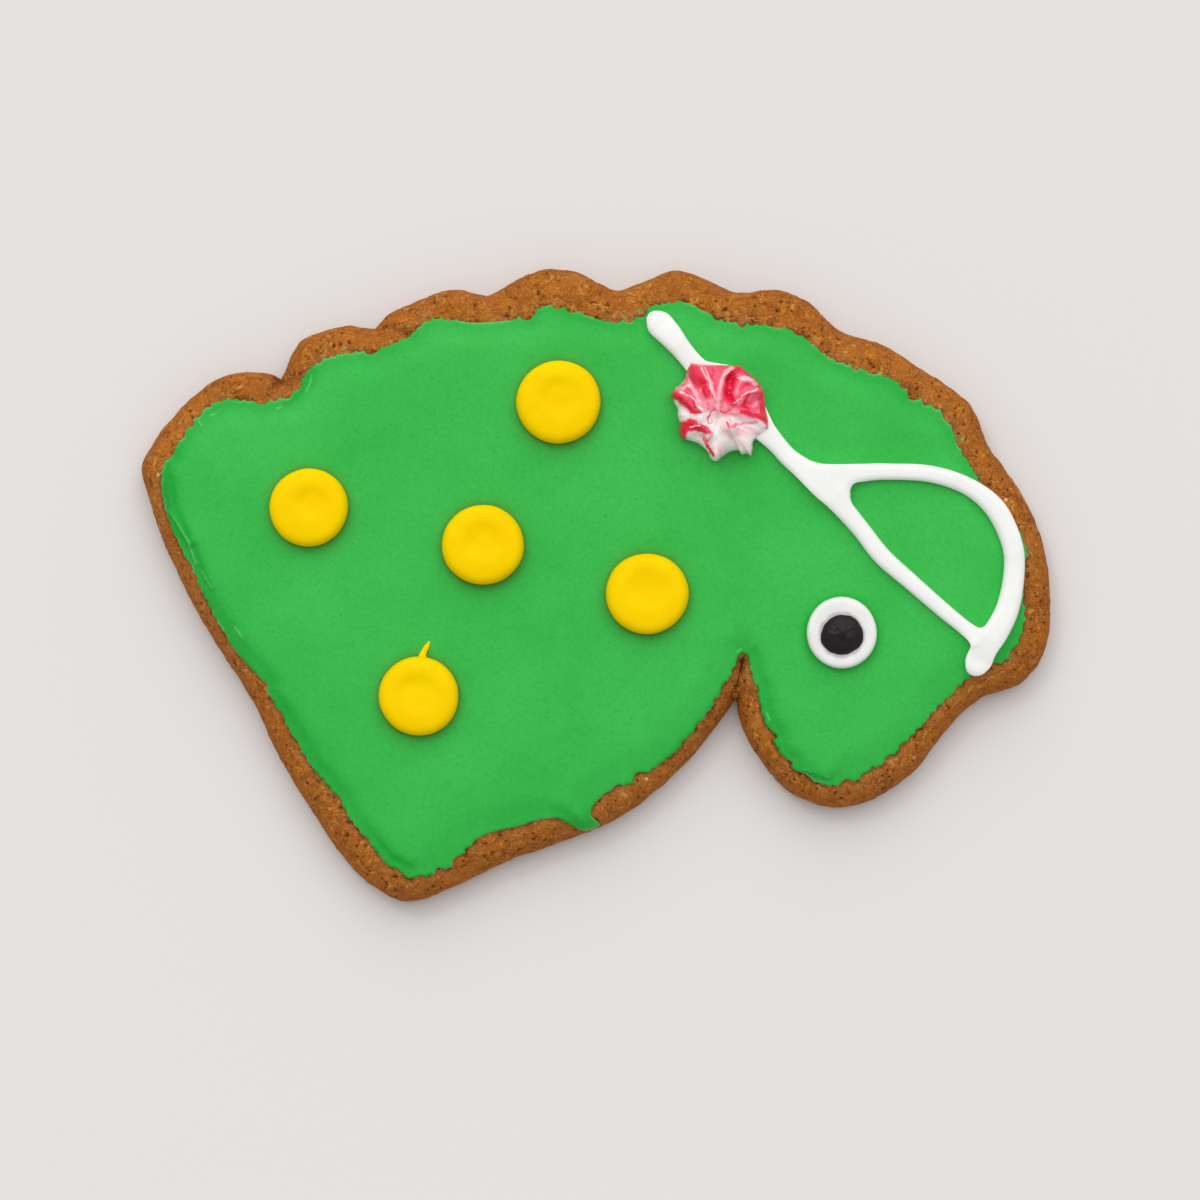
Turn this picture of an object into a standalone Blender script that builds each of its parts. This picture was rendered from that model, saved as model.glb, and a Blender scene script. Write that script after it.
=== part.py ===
"""Iced gingerbread frog: one flat biscuit cut in an animal's profile, with a scalloped back and a notch
under the chin, flooded with green icing and decorated with piped icing in white, yellow, pink and black.

Frame: +Z up, the biscuit lies flat with its underside at z = 0 and its length along X, the head at +X.
The origin is under the middle of its outline. Metres.
"""

import math
import random

import bmesh
import bpy
import numpy as np
from mathutils.geometry import delaunay_2d_cdt

MM = 0.001

# Biscuit, which the oven puffs into a rounded shoulder above its widest line.
BISCUIT_PLATEAU = 6.4 * MM  # height where the shoulder ends
BISCUIT_DOME = 0.5 * MM  # what the middle rises above the plateau
DOME_REACH = 14 * MM
WIDEST_LINE = 2.2 * MM  # height of the outline, the widest part
SHOULDER_WIDTH = 3.4 * MM
FOOT_INSET = 0.6 * MM  # the underside is this much inside the outline
OUTLINE_STEP = 2.2 * MM

# Green icing
ICING_THICKNESS = 0.9 * MM
ICING_EDGE_STEP = 0.95 * MM
ICING_LIP = 0.6 * MM  # width over which the icing rounds down to its edge
TOOTH_DEPTH = 0.5 * MM  # how far the torn edge's points stand out
TOOTH_SEED = 11

GAP = 0.3 * MM  # clearance between pieces that lie on each other

# Piped pieces
SPOT_HEIGHT = 2.5 * MM
EYE_HEIGHT = 1.7 * MM
PUPIL_HEIGHT = 1.3 * MM
ROSETTE_HEIGHT = 5.2 * MM
BEAD_LIFT = 0.35  # how far a bead's centre line stands above its floor, in half widths
TURN_STEPS = 24
BEAD_STEP = 1.9 * MM

# The biscuit's outline, clockwise from the corner of the rump, in millimetres.
SCALLOPED_BACK_MM = [
    (-60.0, 15.5), (-58.8, 18.4), (-54.3, 23.9), (-49.0, 27.7), (-45.2, 28.2), (-42.7, 27.8),
    (-41.6, 26.6), (-40.4, 30.1), (-38.9, 32.4), (-36.2, 33.5), (-32.5, 34.4), (-29.2, 33.9),
    (-27.0, 36.1), (-24.2, 37.3), (-20.9, 38.7), (-17.7, 39.0), (-14.4, 38.3), (-11.1, 40.0),
    (-7.0, 41.7), (-2.1, 41.3), (2.6, 39.0), (6.5, 40.2), (10.4, 41.6), (14.4, 40.4),
    (18.4, 38.8), (24.2, 39.0), (27.6, 37.7), (32.2, 33.6),
]
HEAD_MM = [
    (37.5, 32.0), (43.5, 28.2), (49.4, 23.9), (52.1, 18.0), (55.1, 13.9), (58.2, 8.0),
    (60.0, -0.6), (58.8, -9.6), (56.0, -13.0), (51.1, -14.7), (47.4, -17.9), (41.5, -25.0),
    (36.2, -28.4), (30.5, -29.3), (25.6, -27.3), (21.4, -22.5), (19.3, -18.8),
]
CHIN_NOTCH_MM = (18.5, -15.0)
BELLY_MM = [
    (15.6, -19.0), (10.3, -25.0), (3.2, -30.6), (-6.6, -34.6), (-12.8, -36.9), (-18.8, -39.8),
    (-25.2, -41.8), (-30.7, -38.7),
]
RUMP_MM = [
    (-36.5, -31.4), (-41.9, -22.5), (-45.9, -14.3), (-50.5, -7.2), (-54.6, 0.2), (-57.4, 6.4),
    (-59.3, 12.4),
]
BACK_NOTCH_MM = SCALLOPED_BACK_MM[6]

# Creases in the dough: the points each runs through, its depth and its half width, in millimetres.
CREASES_MM = [
    ([CHIN_NOTCH_MM, (18.9, -12.4), (19.4, -10.2)], 1.6, 0.7),
    ([BACK_NOTCH_MM, (-44.4, 24.9)], 1.3, 1.0),
    ([(-29.2, 33.9), (-25.0, 33.0)], 0.8, 1.0),
]

# The green icing's edge, clockwise from the rump, in millimetres. The chin's notch is a corner of it,
# and at the belly a run of icing reaches the biscuit's rim.
ICING_BACK_MM = [
    (-57.0, 14.6), (-55.6, 17.5), (-53.8, 20.2), (-49.3, 24.4), (-43.4, 24.0), (-40.3, 25.0),
    (-38.0, 27.8), (-35.5, 29.9), (-32.3, 30.5), (-27.3, 31.3), (-24.4, 32.8), (-21.8, 34.9),
    (-16.0, 34.5), (-8.6, 35.6), (-6.7, 36.5), (2.2, 34.7), (5.4, 35.1), (7.9, 36.9),
    (11.0, 37.2), (16.5, 34.8), (25.4, 33.5), (31.6, 29.4),
]
ICING_HEAD_MM = [
    (38.2, 27.3), (43.8, 23.4), (46.8, 19.7), (50.5, 13.4), (54.0, 9.1), (56.0, 2.5),
    (56.1, -5.6), (54.6, -9.0), (48.8, -12.3), (44.3, -16.7), (37.6, -23.4), (32.0, -26.3),
    (26.4, -24.3), (22.6, -19.0), (20.3, -10.8),
]
ICING_NOTCH_MM = (19.2, -9.0)
ICING_BELLY_MM = [(17.3, -11.9), (11.0, -21.1), (4.5, -26.0), (0.7, -27.8)]
ICING_RUN_MM = [(-0.7, -30.1), (0.5, -31.6), (-1.0, -32.3), (-5.2, -30.6)]
ICING_RUMP_MM = [
    (-10.0, -31.6), (-15.2, -33.1), (-19.5, -37.1), (-24.0, -38.4), (-29.6, -34.2),
    (-34.4, -27.2), (-37.8, -22.9), (-43.3, -13.5), (-49.0, -5.9), (-53.9, 3.8), (-56.1, 8.6),
    (-56.8, 11.2),
]
# Stretches where the icing flowed to a smooth edge: centre and reach, in millimetres.
SMOOTH_EDGES_MM = [((-2.0, -31.0), 6.5), ((0.0, 35.0), 5.0), ((56.0, 2.0), 9.0), ((-12.0, -32.5), 4.0)]

# Yellow spots: place, diameter along X and along Y, in millimetres.
SPOTS_MM = [
    ((-4.9, 24.0), 11.0, 10.9),
    ((-37.6, 10.2), 10.3, 10.2),
    ((-14.8, 5.3), 10.7, 10.5),
    ((6.7, -1.1), 10.8, 10.6),
    ((-23.2, -14.5), 10.5, 10.3),
]
# The last spot's tail, drawn out as the nozzle left it: points and half widths, in millimetres.
SPOT_TAIL_MM = [(-22.9, -10.6, 1.3), (-22.6, -9.3, 0.62), (-22.2, -8.5, 0.38), (-21.9, -7.5, 0.16)]

EYE_MM = ((32.2, -6.2), 9.2, 9.4)
PUPIL_MM = ((32.2, -6.5), 5.5, 5.4)

# White piping: points of the centre line with the half width there, in millimetres.
BAND_MM = [
    (8.2, 34.5, 1.85), (9.7, 33.0, 1.55), (11.5, 30.6, 1.2), (13.4, 28.4, 1.3), (16.5, 25.6, 1.8),
    (19.9, 22.4, 1.9), (23.4, 18.8, 1.15), (25.3, 16.8, 1.15), (27.4, 15.2, 1.4),
    (30.2, 13.1, 1.65), (32.6, 11.1, 1.45), (35.2, 7.6, 1.2), (37.7, 3.9, 1.12),
    (41.2, 0.4, 1.05), (45.2, -3.1, 0.95), (48.4, -5.9, 0.98), (50.6, -8.3, 1.75),
    (50.1, -10.5, 1.55),
]
LOOP_MM = [
    (31.0, 13.4, 1.55), (34.8, 14.8, 1.12), (38.0, 14.9, 1.05), (43.8, 14.6, 1.06),
    (48.9, 12.9, 1.12), (52.5, 9.9, 1.35), (54.6, 5.3, 1.32), (54.8, 1.3, 1.34),
    (54.0, -2.9, 1.5), (52.5, -6.2, 1.6), (50.6, -8.3, 1.75),
]

# Rosette: its middle, and the tips that the star nozzle left, as angle and reach.
ROSETTE_MM = (16.1, 22.5)
ROSETTE_TIPS = [
    (25, 6.5), (66, 6.6), (120, 7.3), (159, 6.6), (185, 5.5), (217, 5.6), (268, 6.3), (307, 6.8),
    (342, 6.6),
]
# Levels of the rosette from its base up: height share, size share, groove depth share, turn in degrees.
ROSETTE_LEVELS = [
    (-0.15, 0.88, 0.30, -2), (0.08, 0.98, 0.34, 0), (0.28, 1.00, 0.34, 2), (0.50, 0.86, 0.36, 6),
    (0.68, 0.66, 0.38, 11), (0.82, 0.44, 0.36, 17), (0.93, 0.22, 0.25, 24),
]


# ---------------------------------------------------------------- plane geometry


def loop_step(loop):
    """Vectors from each point of a closed loop to the next."""
    return np.roll(loop, -1, axis=0) - loop


def smooth_loop(points_mm, corners_mm, step):
    """A closed curve through the points, smooth except at the corners, as points about a step apart."""
    knots = np.array(points_mm) * MM
    chord = np.linalg.norm(loop_step(knots), axis=1)
    leaving = loop_step(knots) / chord[:, None]
    arriving = np.roll(leaving, 1, axis=0)
    weight = (chord / (chord + np.roll(chord, 1)))[:, None]
    tangent = arriving * weight + leaving * (1 - weight)
    corner = np.array([tuple(point) in corners_mm for point in points_mm])[:, None]
    start_slopes = np.where(corner, leaving, tangent) * chord[:, None]
    end_slopes = np.roll(np.where(corner, arriving, tangent), -1, axis=0) * chord[:, None]
    loop = []
    for start, end, slope_in, slope_out, length in zip(
        knots, np.roll(knots, -1, axis=0), start_slopes, end_slopes, chord
    ):
        count = max(1, round(length / step))
        loop += [hermite(start, end, slope_in, slope_out, i / count) for i in range(count)]
    return np.array(loop)


def hermite(start, end, slope_in, slope_out, t):
    """The point at share t of a cubic piece, from its ends and the slopes there."""
    return (
        (2 * t**3 - 3 * t**2 + 1) * start
        + (t**3 - 2 * t**2 + t) * slope_in
        + (3 * t**2 - 2 * t**3) * end
        + (t**3 - t**2) * slope_out
    )


def smooth_path(stations_mm, step):
    """An open curve through (x, y, half width) stations, as closely spaced rows of the same."""
    knots = np.array(stations_mm) * MM
    slope = np.gradient(knots, axis=0)
    rows = []
    for start, end, slope_in, slope_out in zip(knots, knots[1:], slope, slope[1:]):
        count = max(1, round(np.linalg.norm((end - start)[:2]) / step))
        rows += [hermite(start, end, slope_in, slope_out, i / count) for i in range(count)]
    return np.array(rows + [knots[-1]])


def distance_to(points, line, closed=True):
    """Distance of each point to a polyline."""
    ends = np.roll(line, -1, axis=0) if closed else line[1:]
    starts = line if closed else line[:-1]
    along = ends - starts
    offset = points[:, None] - starts[None]
    share = np.clip((offset * along).sum(2) / (along**2).sum(1), 0, 1)
    return np.linalg.norm(offset - share[..., None] * along, axis=2).min(axis=1)


def is_inside(points, loop):
    """Whether each point lies within a closed loop, by counting the edges to its right."""
    x, y = points[:, :1], points[:, 1:]
    start, end = loop, np.roll(loop, -1, axis=0)
    straddles = (start[:, 1] > y) != (end[:, 1] > y)
    rise = np.where(end[:, 1] == start[:, 1], 1e-12, end[:, 1] - start[:, 1])
    crossing = start[:, 0] + (y - start[:, 1]) / rise * (end[:, 0] - start[:, 0])
    return (straddles & (x < crossing)).sum(axis=1) % 2 == 1


def inward_normals(loop):
    """Unit normals of a clockwise loop, pointing into it."""
    tangent = np.roll(loop, -1, axis=0) - np.roll(loop, 1, axis=0)
    tangent /= np.linalg.norm(tangent, axis=1)[:, None]
    return np.column_stack([tangent[:, 1], -tangent[:, 0]])


def ring_inside(loop, inset):
    """The loop moved inwards, without the points that would crowd where it turns tightly."""
    moved = loop + inward_normals(loop) * inset
    clear = is_inside(moved, loop) & (distance_to(moved, loop) > 0.92 * inset)
    return moved[clear]


def grid_inside(loop, spacing, margin):
    """Points of a staggered grid that lie at least the margin inside the loop."""
    low, high = loop.min(axis=0), loop.max(axis=0)
    rows = np.arange(low[1], high[1], spacing * math.sqrt(3) / 2)
    points = []
    for index, y in enumerate(rows):
        for x in np.arange(low[0] + (index % 2) * spacing / 2, high[0], spacing):
            points.append((x, y))
    points = np.array(points)
    points = points[is_inside(points, loop)]
    return points[distance_to(points, loop) > margin]


# ---------------------------------------------------------------- heights


def biscuit_top(points):
    """Height of the biscuit's upper face: the shoulder's quarter ellipse, the dome and the creases."""
    depth = distance_to(points, OUTLINE)
    shoulder = 1 - np.clip(depth / SHOULDER_WIDTH, 0, 1)
    dome = np.clip((depth - SHOULDER_WIDTH) / DOME_REACH, 0, 1)
    height = WIDEST_LINE + (BISCUIT_PLATEAU - WIDEST_LINE) * np.sqrt(1 - shoulder**2)
    height += BISCUIT_DOME * dome * (2 - dome)
    for points_mm, depth_mm, width_mm in CREASES_MM:
        away = distance_to(points, np.array(points_mm) * MM, closed=False)
        height -= depth_mm * MM * np.exp(-((away / (width_mm * MM)) ** 2)) * (1 - shoulder) ** 0.5
    return height


def topping_floor(points):
    """Height that piped pieces rest on: over the icing, and down to the bare biscuit past its edge."""
    away = distance_to(points, ICING_EDGE)
    away = np.where(is_inside(points, ICING_EDGE), 0, away)
    cover = 1 - np.clip(away / (2 * ICING_LIP), 0, 1)
    return biscuit_top(points) + GAP + (ICING_THICKNESS + GAP) * cover


def floor_at(place):
    return float(topping_floor(np.array([place]))[0])


# ---------------------------------------------------------------- Blender objects


def clear_scene():
    for obj in list(bpy.data.objects):
        bpy.data.objects.remove(obj)


def new_collection(name):
    collection = bpy.data.collections.new(name)
    bpy.context.scene.collection.children.link(collection)
    return collection


def icing_material(name, colour, roughness):
    material = bpy.data.materials.new(name)
    material.use_nodes = True
    shader = material.node_tree.nodes["Principled BSDF"]
    shader.inputs["Base Color"].default_value = (*colour, 1)
    shader.inputs["Roughness"].default_value = roughness
    shader.inputs["Metallic"].default_value = 0
    return material


def add_object(name, data, material, collection):
    obj = bpy.data.objects.new(name, data)
    collection.objects.link(obj)
    if material:
        data.materials.append(material)
    return obj


def mesh_from(name, edit):
    """A mesh made from a bmesh, with its normals facing out, shaded smooth but for its sharp edges."""
    bmesh.ops.recalc_face_normals(edit, faces=edit.faces)
    mesh = bpy.data.meshes.new(name)
    edit.to_mesh(mesh)
    edit.free()
    mesh.shade_smooth()
    mesh.set_sharp_from_angle(angle=math.radians(50))
    return mesh


def triangulated(loop, inner):
    """The loop's area as points and triangles through the inner points too."""
    points = [tuple(point) for point in np.vstack([loop, inner])]
    result = delaunay_2d_cdt(points, [], [list(range(len(loop)))], 1, 1e-7)
    return np.array([tuple(point) for point in result[0]]), result[2]


def surface(loop, inner, height):
    """An open surface over the loop's area as a bmesh, at the height that the function gives."""
    points, triangles = triangulated(loop, inner)
    edit = bmesh.new()
    heights = height(points)
    verts = [edit.verts.new((x, y, z)) for (x, y), z in zip(points, heights)]
    for triangle in triangles:
        edit.faces.new([verts[index] for index in triangle])
    bmesh.ops.recalc_face_normals(edit, faces=edit.faces)
    edit.normal_update()
    if sum(face.normal.z for face in edit.faces) < 0:
        bmesh.ops.reverse_faces(edit, faces=edit.faces)
    return edit


def evaluated_mesh(obj):
    bpy.context.view_layer.update()
    graph = bpy.context.evaluated_depsgraph_get()
    return bpy.data.meshes.new_from_object(obj.evaluated_get(graph))


def apply_modifiers(obj):
    finished = evaluated_mesh(obj)
    obj.modifiers.clear()
    obj.data = finished


def boolean(obj, other, operation):
    """Joins the other object's shape to obj, or cuts it away, and applies it."""
    modifier = obj.modifiers.new(operation.title(), "BOOLEAN")
    modifier.operation = operation
    modifier.object = other
    modifier.solver = "EXACT"
    apply_modifiers(obj)


def turned(name, place, base, profile, stretch, material, collection):
    """A piped drop: a profile of (radius, height) from its top down, turned about the vertical."""
    mesh = bpy.data.meshes.new(name)
    mesh.from_pydata(
        [(radius, 0, height) for radius, height in profile],
        [(index, index + 1) for index in range(len(profile) - 1)],
        [],
    )
    obj = add_object(name, mesh, material, collection)
    screw = obj.modifiers.new("Screw", "SCREW")
    screw.steps = screw.render_steps = TURN_STEPS
    screw.use_merge_vertices = True
    screw.merge_threshold = 0.00001
    screw.use_smooth_shade = True
    obj.location = (*place, base)
    obj.scale = (stretch[0], stretch[1], 1)
    return obj


def bead(name, stations_mm, material, collection, extra=0.0):
    """A piped bead: a tube whose lower part is sunk in the floor, with its ends rounded off."""
    rows = smooth_path(stations_mm, BEAD_STEP)
    rows = rounded_ends(rows)
    heights = topping_floor(rows[:, :2]) + BEAD_LIFT * rows[:, 2]
    curve = bpy.data.curves.new(name, "CURVE")
    curve.dimensions = "3D"
    curve.bevel_depth = 1 * MM
    curve.bevel_resolution = 2
    curve.use_fill_caps = True
    spline = curve.splines.new("POLY")
    spline.points.add(len(rows) - 1)
    for point, (x, y, half_width), z in zip(spline.points, rows, heights):
        point.co = (x, y, z, 1)
        point.radius = (half_width + extra) / MM
    tube = add_object(name, curve, None, collection)
    mesh = evaluated_mesh(tube)
    edit = bmesh.new()
    edit.from_mesh(mesh)
    bmesh.ops.remove_doubles(edit, verts=edit.verts, dist=0.005 * MM)
    bpy.data.objects.remove(tube)
    return add_object(name, mesh_from(name, edit), material, collection)


def rounded_ends(rows):
    """Adds two stations past each end, so that the bead closes in a round end."""
    first, last = rows[0], rows[-1]
    outward = {0: first[:2] - rows[1][:2], -1: last[:2] - rows[-2][:2]}
    caps = {}
    for end, station in ((0, first), (-1, last)):
        way = outward[end] / np.linalg.norm(outward[end])
        reach = station[2]
        caps[end] = [
            np.array([*(station[:2] + way * reach * ahead), reach * math.sqrt(1 - ahead**2)])
            for ahead in (0.45, 0.8, 0.97)
        ]
    return np.array([*reversed(caps[0]), *rows, *caps[-1]])


# ---------------------------------------------------------------- the pieces


def torn_edge(loop):
    """The icing's edge with the small points that it tore into as it set."""
    chance = random.Random(TOOTH_SEED)
    teeth = np.array([chance.uniform(0.35, 1) if index % 2 else 0.0 for index in range(len(loop))])
    calm = np.ones(len(loop))
    for centre_mm, reach_mm in SMOOTH_EDGES_MM:
        away = np.linalg.norm(loop - np.array(centre_mm) * MM, axis=1)
        calm = np.minimum(calm, np.clip(away / (reach_mm * MM) - 0.6, 0, 1))
    out = (teeth - 0.35) * calm * TOOTH_DEPTH
    return loop - inward_normals(loop) * out[:, None]


def make_biscuit(material, collection):
    """The biscuit: its domed top, walls that draw in to the foot, and a flat underside."""
    rings = [ring_inside(OUTLINE, share * SHOULDER_WIDTH) for share in (0.12, 0.42, 1.0)]
    creases = [
        smooth_path([(*point, 0) for point in points_mm], 1.0 * MM)[1:, :2]
        for points_mm, _, _ in CREASES_MM
    ]
    middle = grid_inside(OUTLINE, 8 * MM, SHOULDER_WIDTH + 2 * MM)
    edit = surface(OUTLINE, np.vstack([*rings, *creases, middle]), biscuit_top)
    rim = [edge for edge in edit.edges if edge.is_boundary]
    wall = bmesh.ops.extrude_edge_only(edit, edges=rim)
    foot = [item for item in wall["geom"] if isinstance(item, bmesh.types.BMVert)]
    foot_points = np.array([vert.co[:2] for vert in foot])
    nearest = np.linalg.norm(foot_points[:, None] - OUTLINE[None], axis=2).argmin(axis=1)
    drawn_in = foot_points + inward_normals(OUTLINE)[nearest] * FOOT_INSET
    for vert, (x, y) in zip(foot, drawn_in):
        vert.co = (x, y, 0)
    bmesh.ops.holes_fill(edit, edges=[edge for edge in edit.edges if edge.is_boundary])
    return add_object("biscuit", mesh_from("biscuit", edit), material, collection)


def make_green_icing(material, collection):
    """The flooded icing: an open sheet that follows the biscuit, thickened upwards to a rounded edge."""
    lip = ring_inside(ICING_EDGE, ICING_LIP)[::2]
    near_rim = grid_inside(ICING_EDGE, 1.5 * MM, 1.1 * MM)
    near_rim = near_rim[distance_to(near_rim, OUTLINE) < SHOULDER_WIDTH]
    middle = grid_inside(ICING_EDGE, 6 * MM, 2.5 * MM)
    inner = np.vstack([lip, near_rim, middle])
    edit = surface(ICING_EDGE, inner, lambda points: biscuit_top(points) + GAP)
    mesh = mesh_from("green_icing", edit)
    obj = add_object("green_icing", mesh, material, collection)
    points = np.array([vert.co[:2] for vert in mesh.vertices])
    fullness = np.clip(0.3 + distance_to(points, ICING_EDGE) / ICING_LIP, 0, 1)
    group = obj.vertex_groups.new(name="fullness")
    for index, weight in enumerate(fullness):
        group.add([index], float(weight), "REPLACE")
    solidify = obj.modifiers.new("Solidify", "SOLIDIFY")
    solidify.thickness = ICING_THICKNESS
    solidify.offset = 1
    solidify.vertex_group = "fullness"
    return obj


def make_spots(material, collection):
    """Yellow drops that settled to a rounded disc with a shallow dimple on top."""
    profile_shares = [
        (0, 0.91), (0.34, 0.94), (0.58, 1.0), (0.78, 0.95), (0.93, 0.74), (1.0, 0.42),
        (0.96, 0.12), (0.89, 0), (0, 0),
    ]
    spots = []
    for number, (place_mm, length_mm, width_mm) in enumerate(SPOTS_MM, start=1):
        place = np.array(place_mm) * MM
        radius = length_mm * MM / 2
        profile = [(share * radius, height * SPOT_HEIGHT) for share, height in profile_shares]
        stretch = (1, width_mm / length_mm)
        spot = turned(
            f"spot_{number}", place, floor_at(place), profile, stretch, material, collection
        )
        spots.append(spot)
    return spots


def make_spot_tail(spot, material, collection):
    """Joins the drawn-out tail to its spot."""
    tail = bead("tail", SPOT_TAIL_MM, material, collection)
    floor = make_floor_cutter(collection)
    boolean(tail, floor, "DIFFERENCE")
    boolean(spot, tail, "UNION")
    for helper in (tail, floor):
        bpy.data.objects.remove(helper)


def make_eye(white, black, collection):
    """A white drop with a shallow dish, and a low black drop in it."""
    place_mm, length_mm, width_mm = EYE_MM
    place = np.array(place_mm) * MM
    radius = length_mm * MM / 2
    floor = floor_at(place)
    white_profile = [
        (0, 0.80), (0.62, 0.80), (0.72, 1.0), (0.86, 0.93), (0.96, 0.72), (1.0, 0.40),
        (0.95, 0.12), (0.88, 0), (0, 0),
    ]
    profile = [(share * radius, height * EYE_HEIGHT) for share, height in white_profile]
    turned("eye_white", place, floor, profile, (1, width_mm / length_mm), white, collection)
    place_mm, length_mm, width_mm = PUPIL_MM
    place = np.array(place_mm) * MM
    radius = length_mm * MM / 2
    pupil_profile = [
        (0, 1.0), (0.16, 0.93), (0.45, 0.86), (0.75, 0.64), (0.94, 0.34), (1.0, 0.12), (0.97, 0),
        (0, 0),
    ]
    profile = [(share * radius, height * PUPIL_HEIGHT) for share, height in pupil_profile]
    base = floor + 0.80 * EYE_HEIGHT + GAP
    turned("eye_pupil", place, base, profile, (1, width_mm / length_mm), black, collection)


def make_floor_cutter(collection, depth=5 * MM):
    """A slab whose upper face is the floor that piped pieces rest on."""
    rings = [ring_inside(OUTLINE, share * SHOULDER_WIDTH) for share in (0.3, 0.6, 1.0)]
    rings.append(ICING_EDGE[::2])
    middle = grid_inside(OUTLINE, 3 * MM, 2 * MM)
    edit = surface(OUTLINE, np.vstack([*rings, middle]), topping_floor)
    slab = add_object("floor", mesh_from("floor", edit), None, collection)
    solidify = slab.modifiers.new("Solidify", "SOLIDIFY")
    solidify.thickness = depth
    solidify.offset = -1
    apply_modifiers(slab)
    slab.hide_render = True
    slab.display_type = "WIRE"
    return slab


def make_white_line(material, collection, cutters):
    """The white band and the loop that branches off it and meets it again: one bead of piping."""
    band = bead("white_line", BAND_MM, material, collection)
    loop = bead("loop", LOOP_MM, material, cutters)
    boolean(band, loop, "UNION")
    bpy.data.objects.remove(loop)
    floor = make_floor_cutter(cutters)
    boolean(band, floor, "DIFFERENCE")
    bpy.data.objects.remove(floor)
    return band


def rosette_reach(angle):
    """Outline of the star: 0 at a tip and 1 in a groove, with the reach that the nearest tips give."""
    tips = sorted(ROSETTE_TIPS)
    angles = [tip[0] for tip in tips] + [tips[0][0] + 360]
    reaches = [tip[1] for tip in tips] + [tips[0][1]]
    turn = (angle - angles[0]) % 360 + angles[0]
    for start, end, reach, next_reach in zip(angles, angles[1:], reaches, reaches[1:]):
        if turn <= end:
            share = (turn - start) / (end - start)
            groove = math.sin(math.pi * share) ** 0.7
            return groove, (reach + (next_reach - reach) * share) * MM
    raise ValueError("the angle lies between no two tips")


def rosette_ring(edit, centre, base, level, angles):
    """One level of the rosette as a ring of vertices."""
    height, size, groove_depth, turn = level
    ring = []
    for angle in angles:
        groove, reach = rosette_reach(angle)
        radius = reach * size * (1 - groove * groove_depth)
        direction = math.radians(angle + turn)
        x = centre[0] + radius * math.cos(direction)
        y = centre[1] + radius * math.sin(direction)
        ring.append(edit.verts.new((x, y, base + height * ROSETTE_HEIGHT)))
    return ring


def make_rosette(material, collection, cutters):
    """The star-piped rosette: ridged rings that narrow and turn to a peak, set astride the white band."""
    centre = np.array(ROSETTE_MM) * MM
    base = floor_at(centre)
    tips = sorted(angle for angle, _ in ROSETTE_TIPS)
    angles = []
    for start, end in zip(tips, tips[1:] + [tips[0] + 360]):
        angles += [start + (end - start) * share for share in (0, 0.25, 0.5, 0.75)]
    edit = bmesh.new()
    rings = [rosette_ring(edit, centre, base, level, angles) for level in ROSETTE_LEVELS]
    for lower, upper in zip(rings, rings[1:]):
        for index in range(len(angles)):
            after = (index + 1) % len(angles)
            edit.faces.new((lower[index], lower[after], upper[after], upper[index]))
    peak = edit.verts.new((*centre, base + ROSETTE_HEIGHT))
    foot = edit.verts.new((*centre, base + ROSETTE_LEVELS[0][0] * ROSETTE_HEIGHT))
    for index in range(len(angles)):
        after = (index + 1) % len(angles)
        edit.faces.new((rings[-1][index], rings[-1][after], peak))
        edit.faces.new((rings[0][after], rings[0][index], foot))
    bmesh.ops.triangulate(edit, faces=edit.faces)
    rosette = add_object("rosette", mesh_from("rosette", edit), material, collection)
    for cutter in (
        make_floor_cutter(cutters),
        bead("band_room", BAND_MM, None, cutters, extra=GAP),
    ):
        boolean(rosette, cutter, "DIFFERENCE")
        bpy.data.objects.remove(cutter)
    return rosette


def main():
    clear_scene()
    frog = new_collection("gingerbread_frog")
    cutters = new_collection("cutters")
    dough = icing_material("gingerbread", (0.36, 0.13, 0.03), 0.75)
    green = icing_material("green_icing", (0.045, 0.47, 0.08), 0.5)
    yellow = icing_material("yellow_icing", (0.95, 0.62, 0.0), 0.4)
    white = icing_material("white_icing", (0.9, 0.9, 0.86), 0.45)
    pink = icing_material("pink_icing", (0.75, 0.08, 0.13), 0.35)
    black = icing_material("black_icing", (0.012, 0.009, 0.011), 0.4)
    make_biscuit(dough, frog)
    make_green_icing(green, frog)
    spots = make_spots(yellow, frog)
    make_spot_tail(spots[-1], yellow, cutters)
    make_eye(white, black, frog)
    make_white_line(white, frog, cutters)
    make_rosette(pink, frog, cutters)


OUTLINE = smooth_loop(
    SCALLOPED_BACK_MM + HEAD_MM + [CHIN_NOTCH_MM] + BELLY_MM + RUMP_MM,
    {CHIN_NOTCH_MM, BACK_NOTCH_MM},
    OUTLINE_STEP,
)
ICING_EDGE = torn_edge(
    smooth_loop(
        ICING_BACK_MM
        + ICING_HEAD_MM
        + [ICING_NOTCH_MM]
        + ICING_BELLY_MM
        + ICING_RUN_MM
        + ICING_RUMP_MM,
        {ICING_NOTCH_MM},
        ICING_EDGE_STEP,
    )
)
main()
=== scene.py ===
"""Looks of an iced gingerbread frog: a puffed, toasted biscuit under green icing, with piped icing on it.

Shapes are worked out in millimetres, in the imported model's frame: +X to the head, +Y to the scalloped back,
+Z up out of the iced face. Meshes are written in metres.
"""

import math
import random

import bmesh
import bpy
import numpy as np
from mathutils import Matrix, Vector, noise
from mathutils.geometry import delaunay_2d_cdt
from mathutils.kdtree import KDTree


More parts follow.
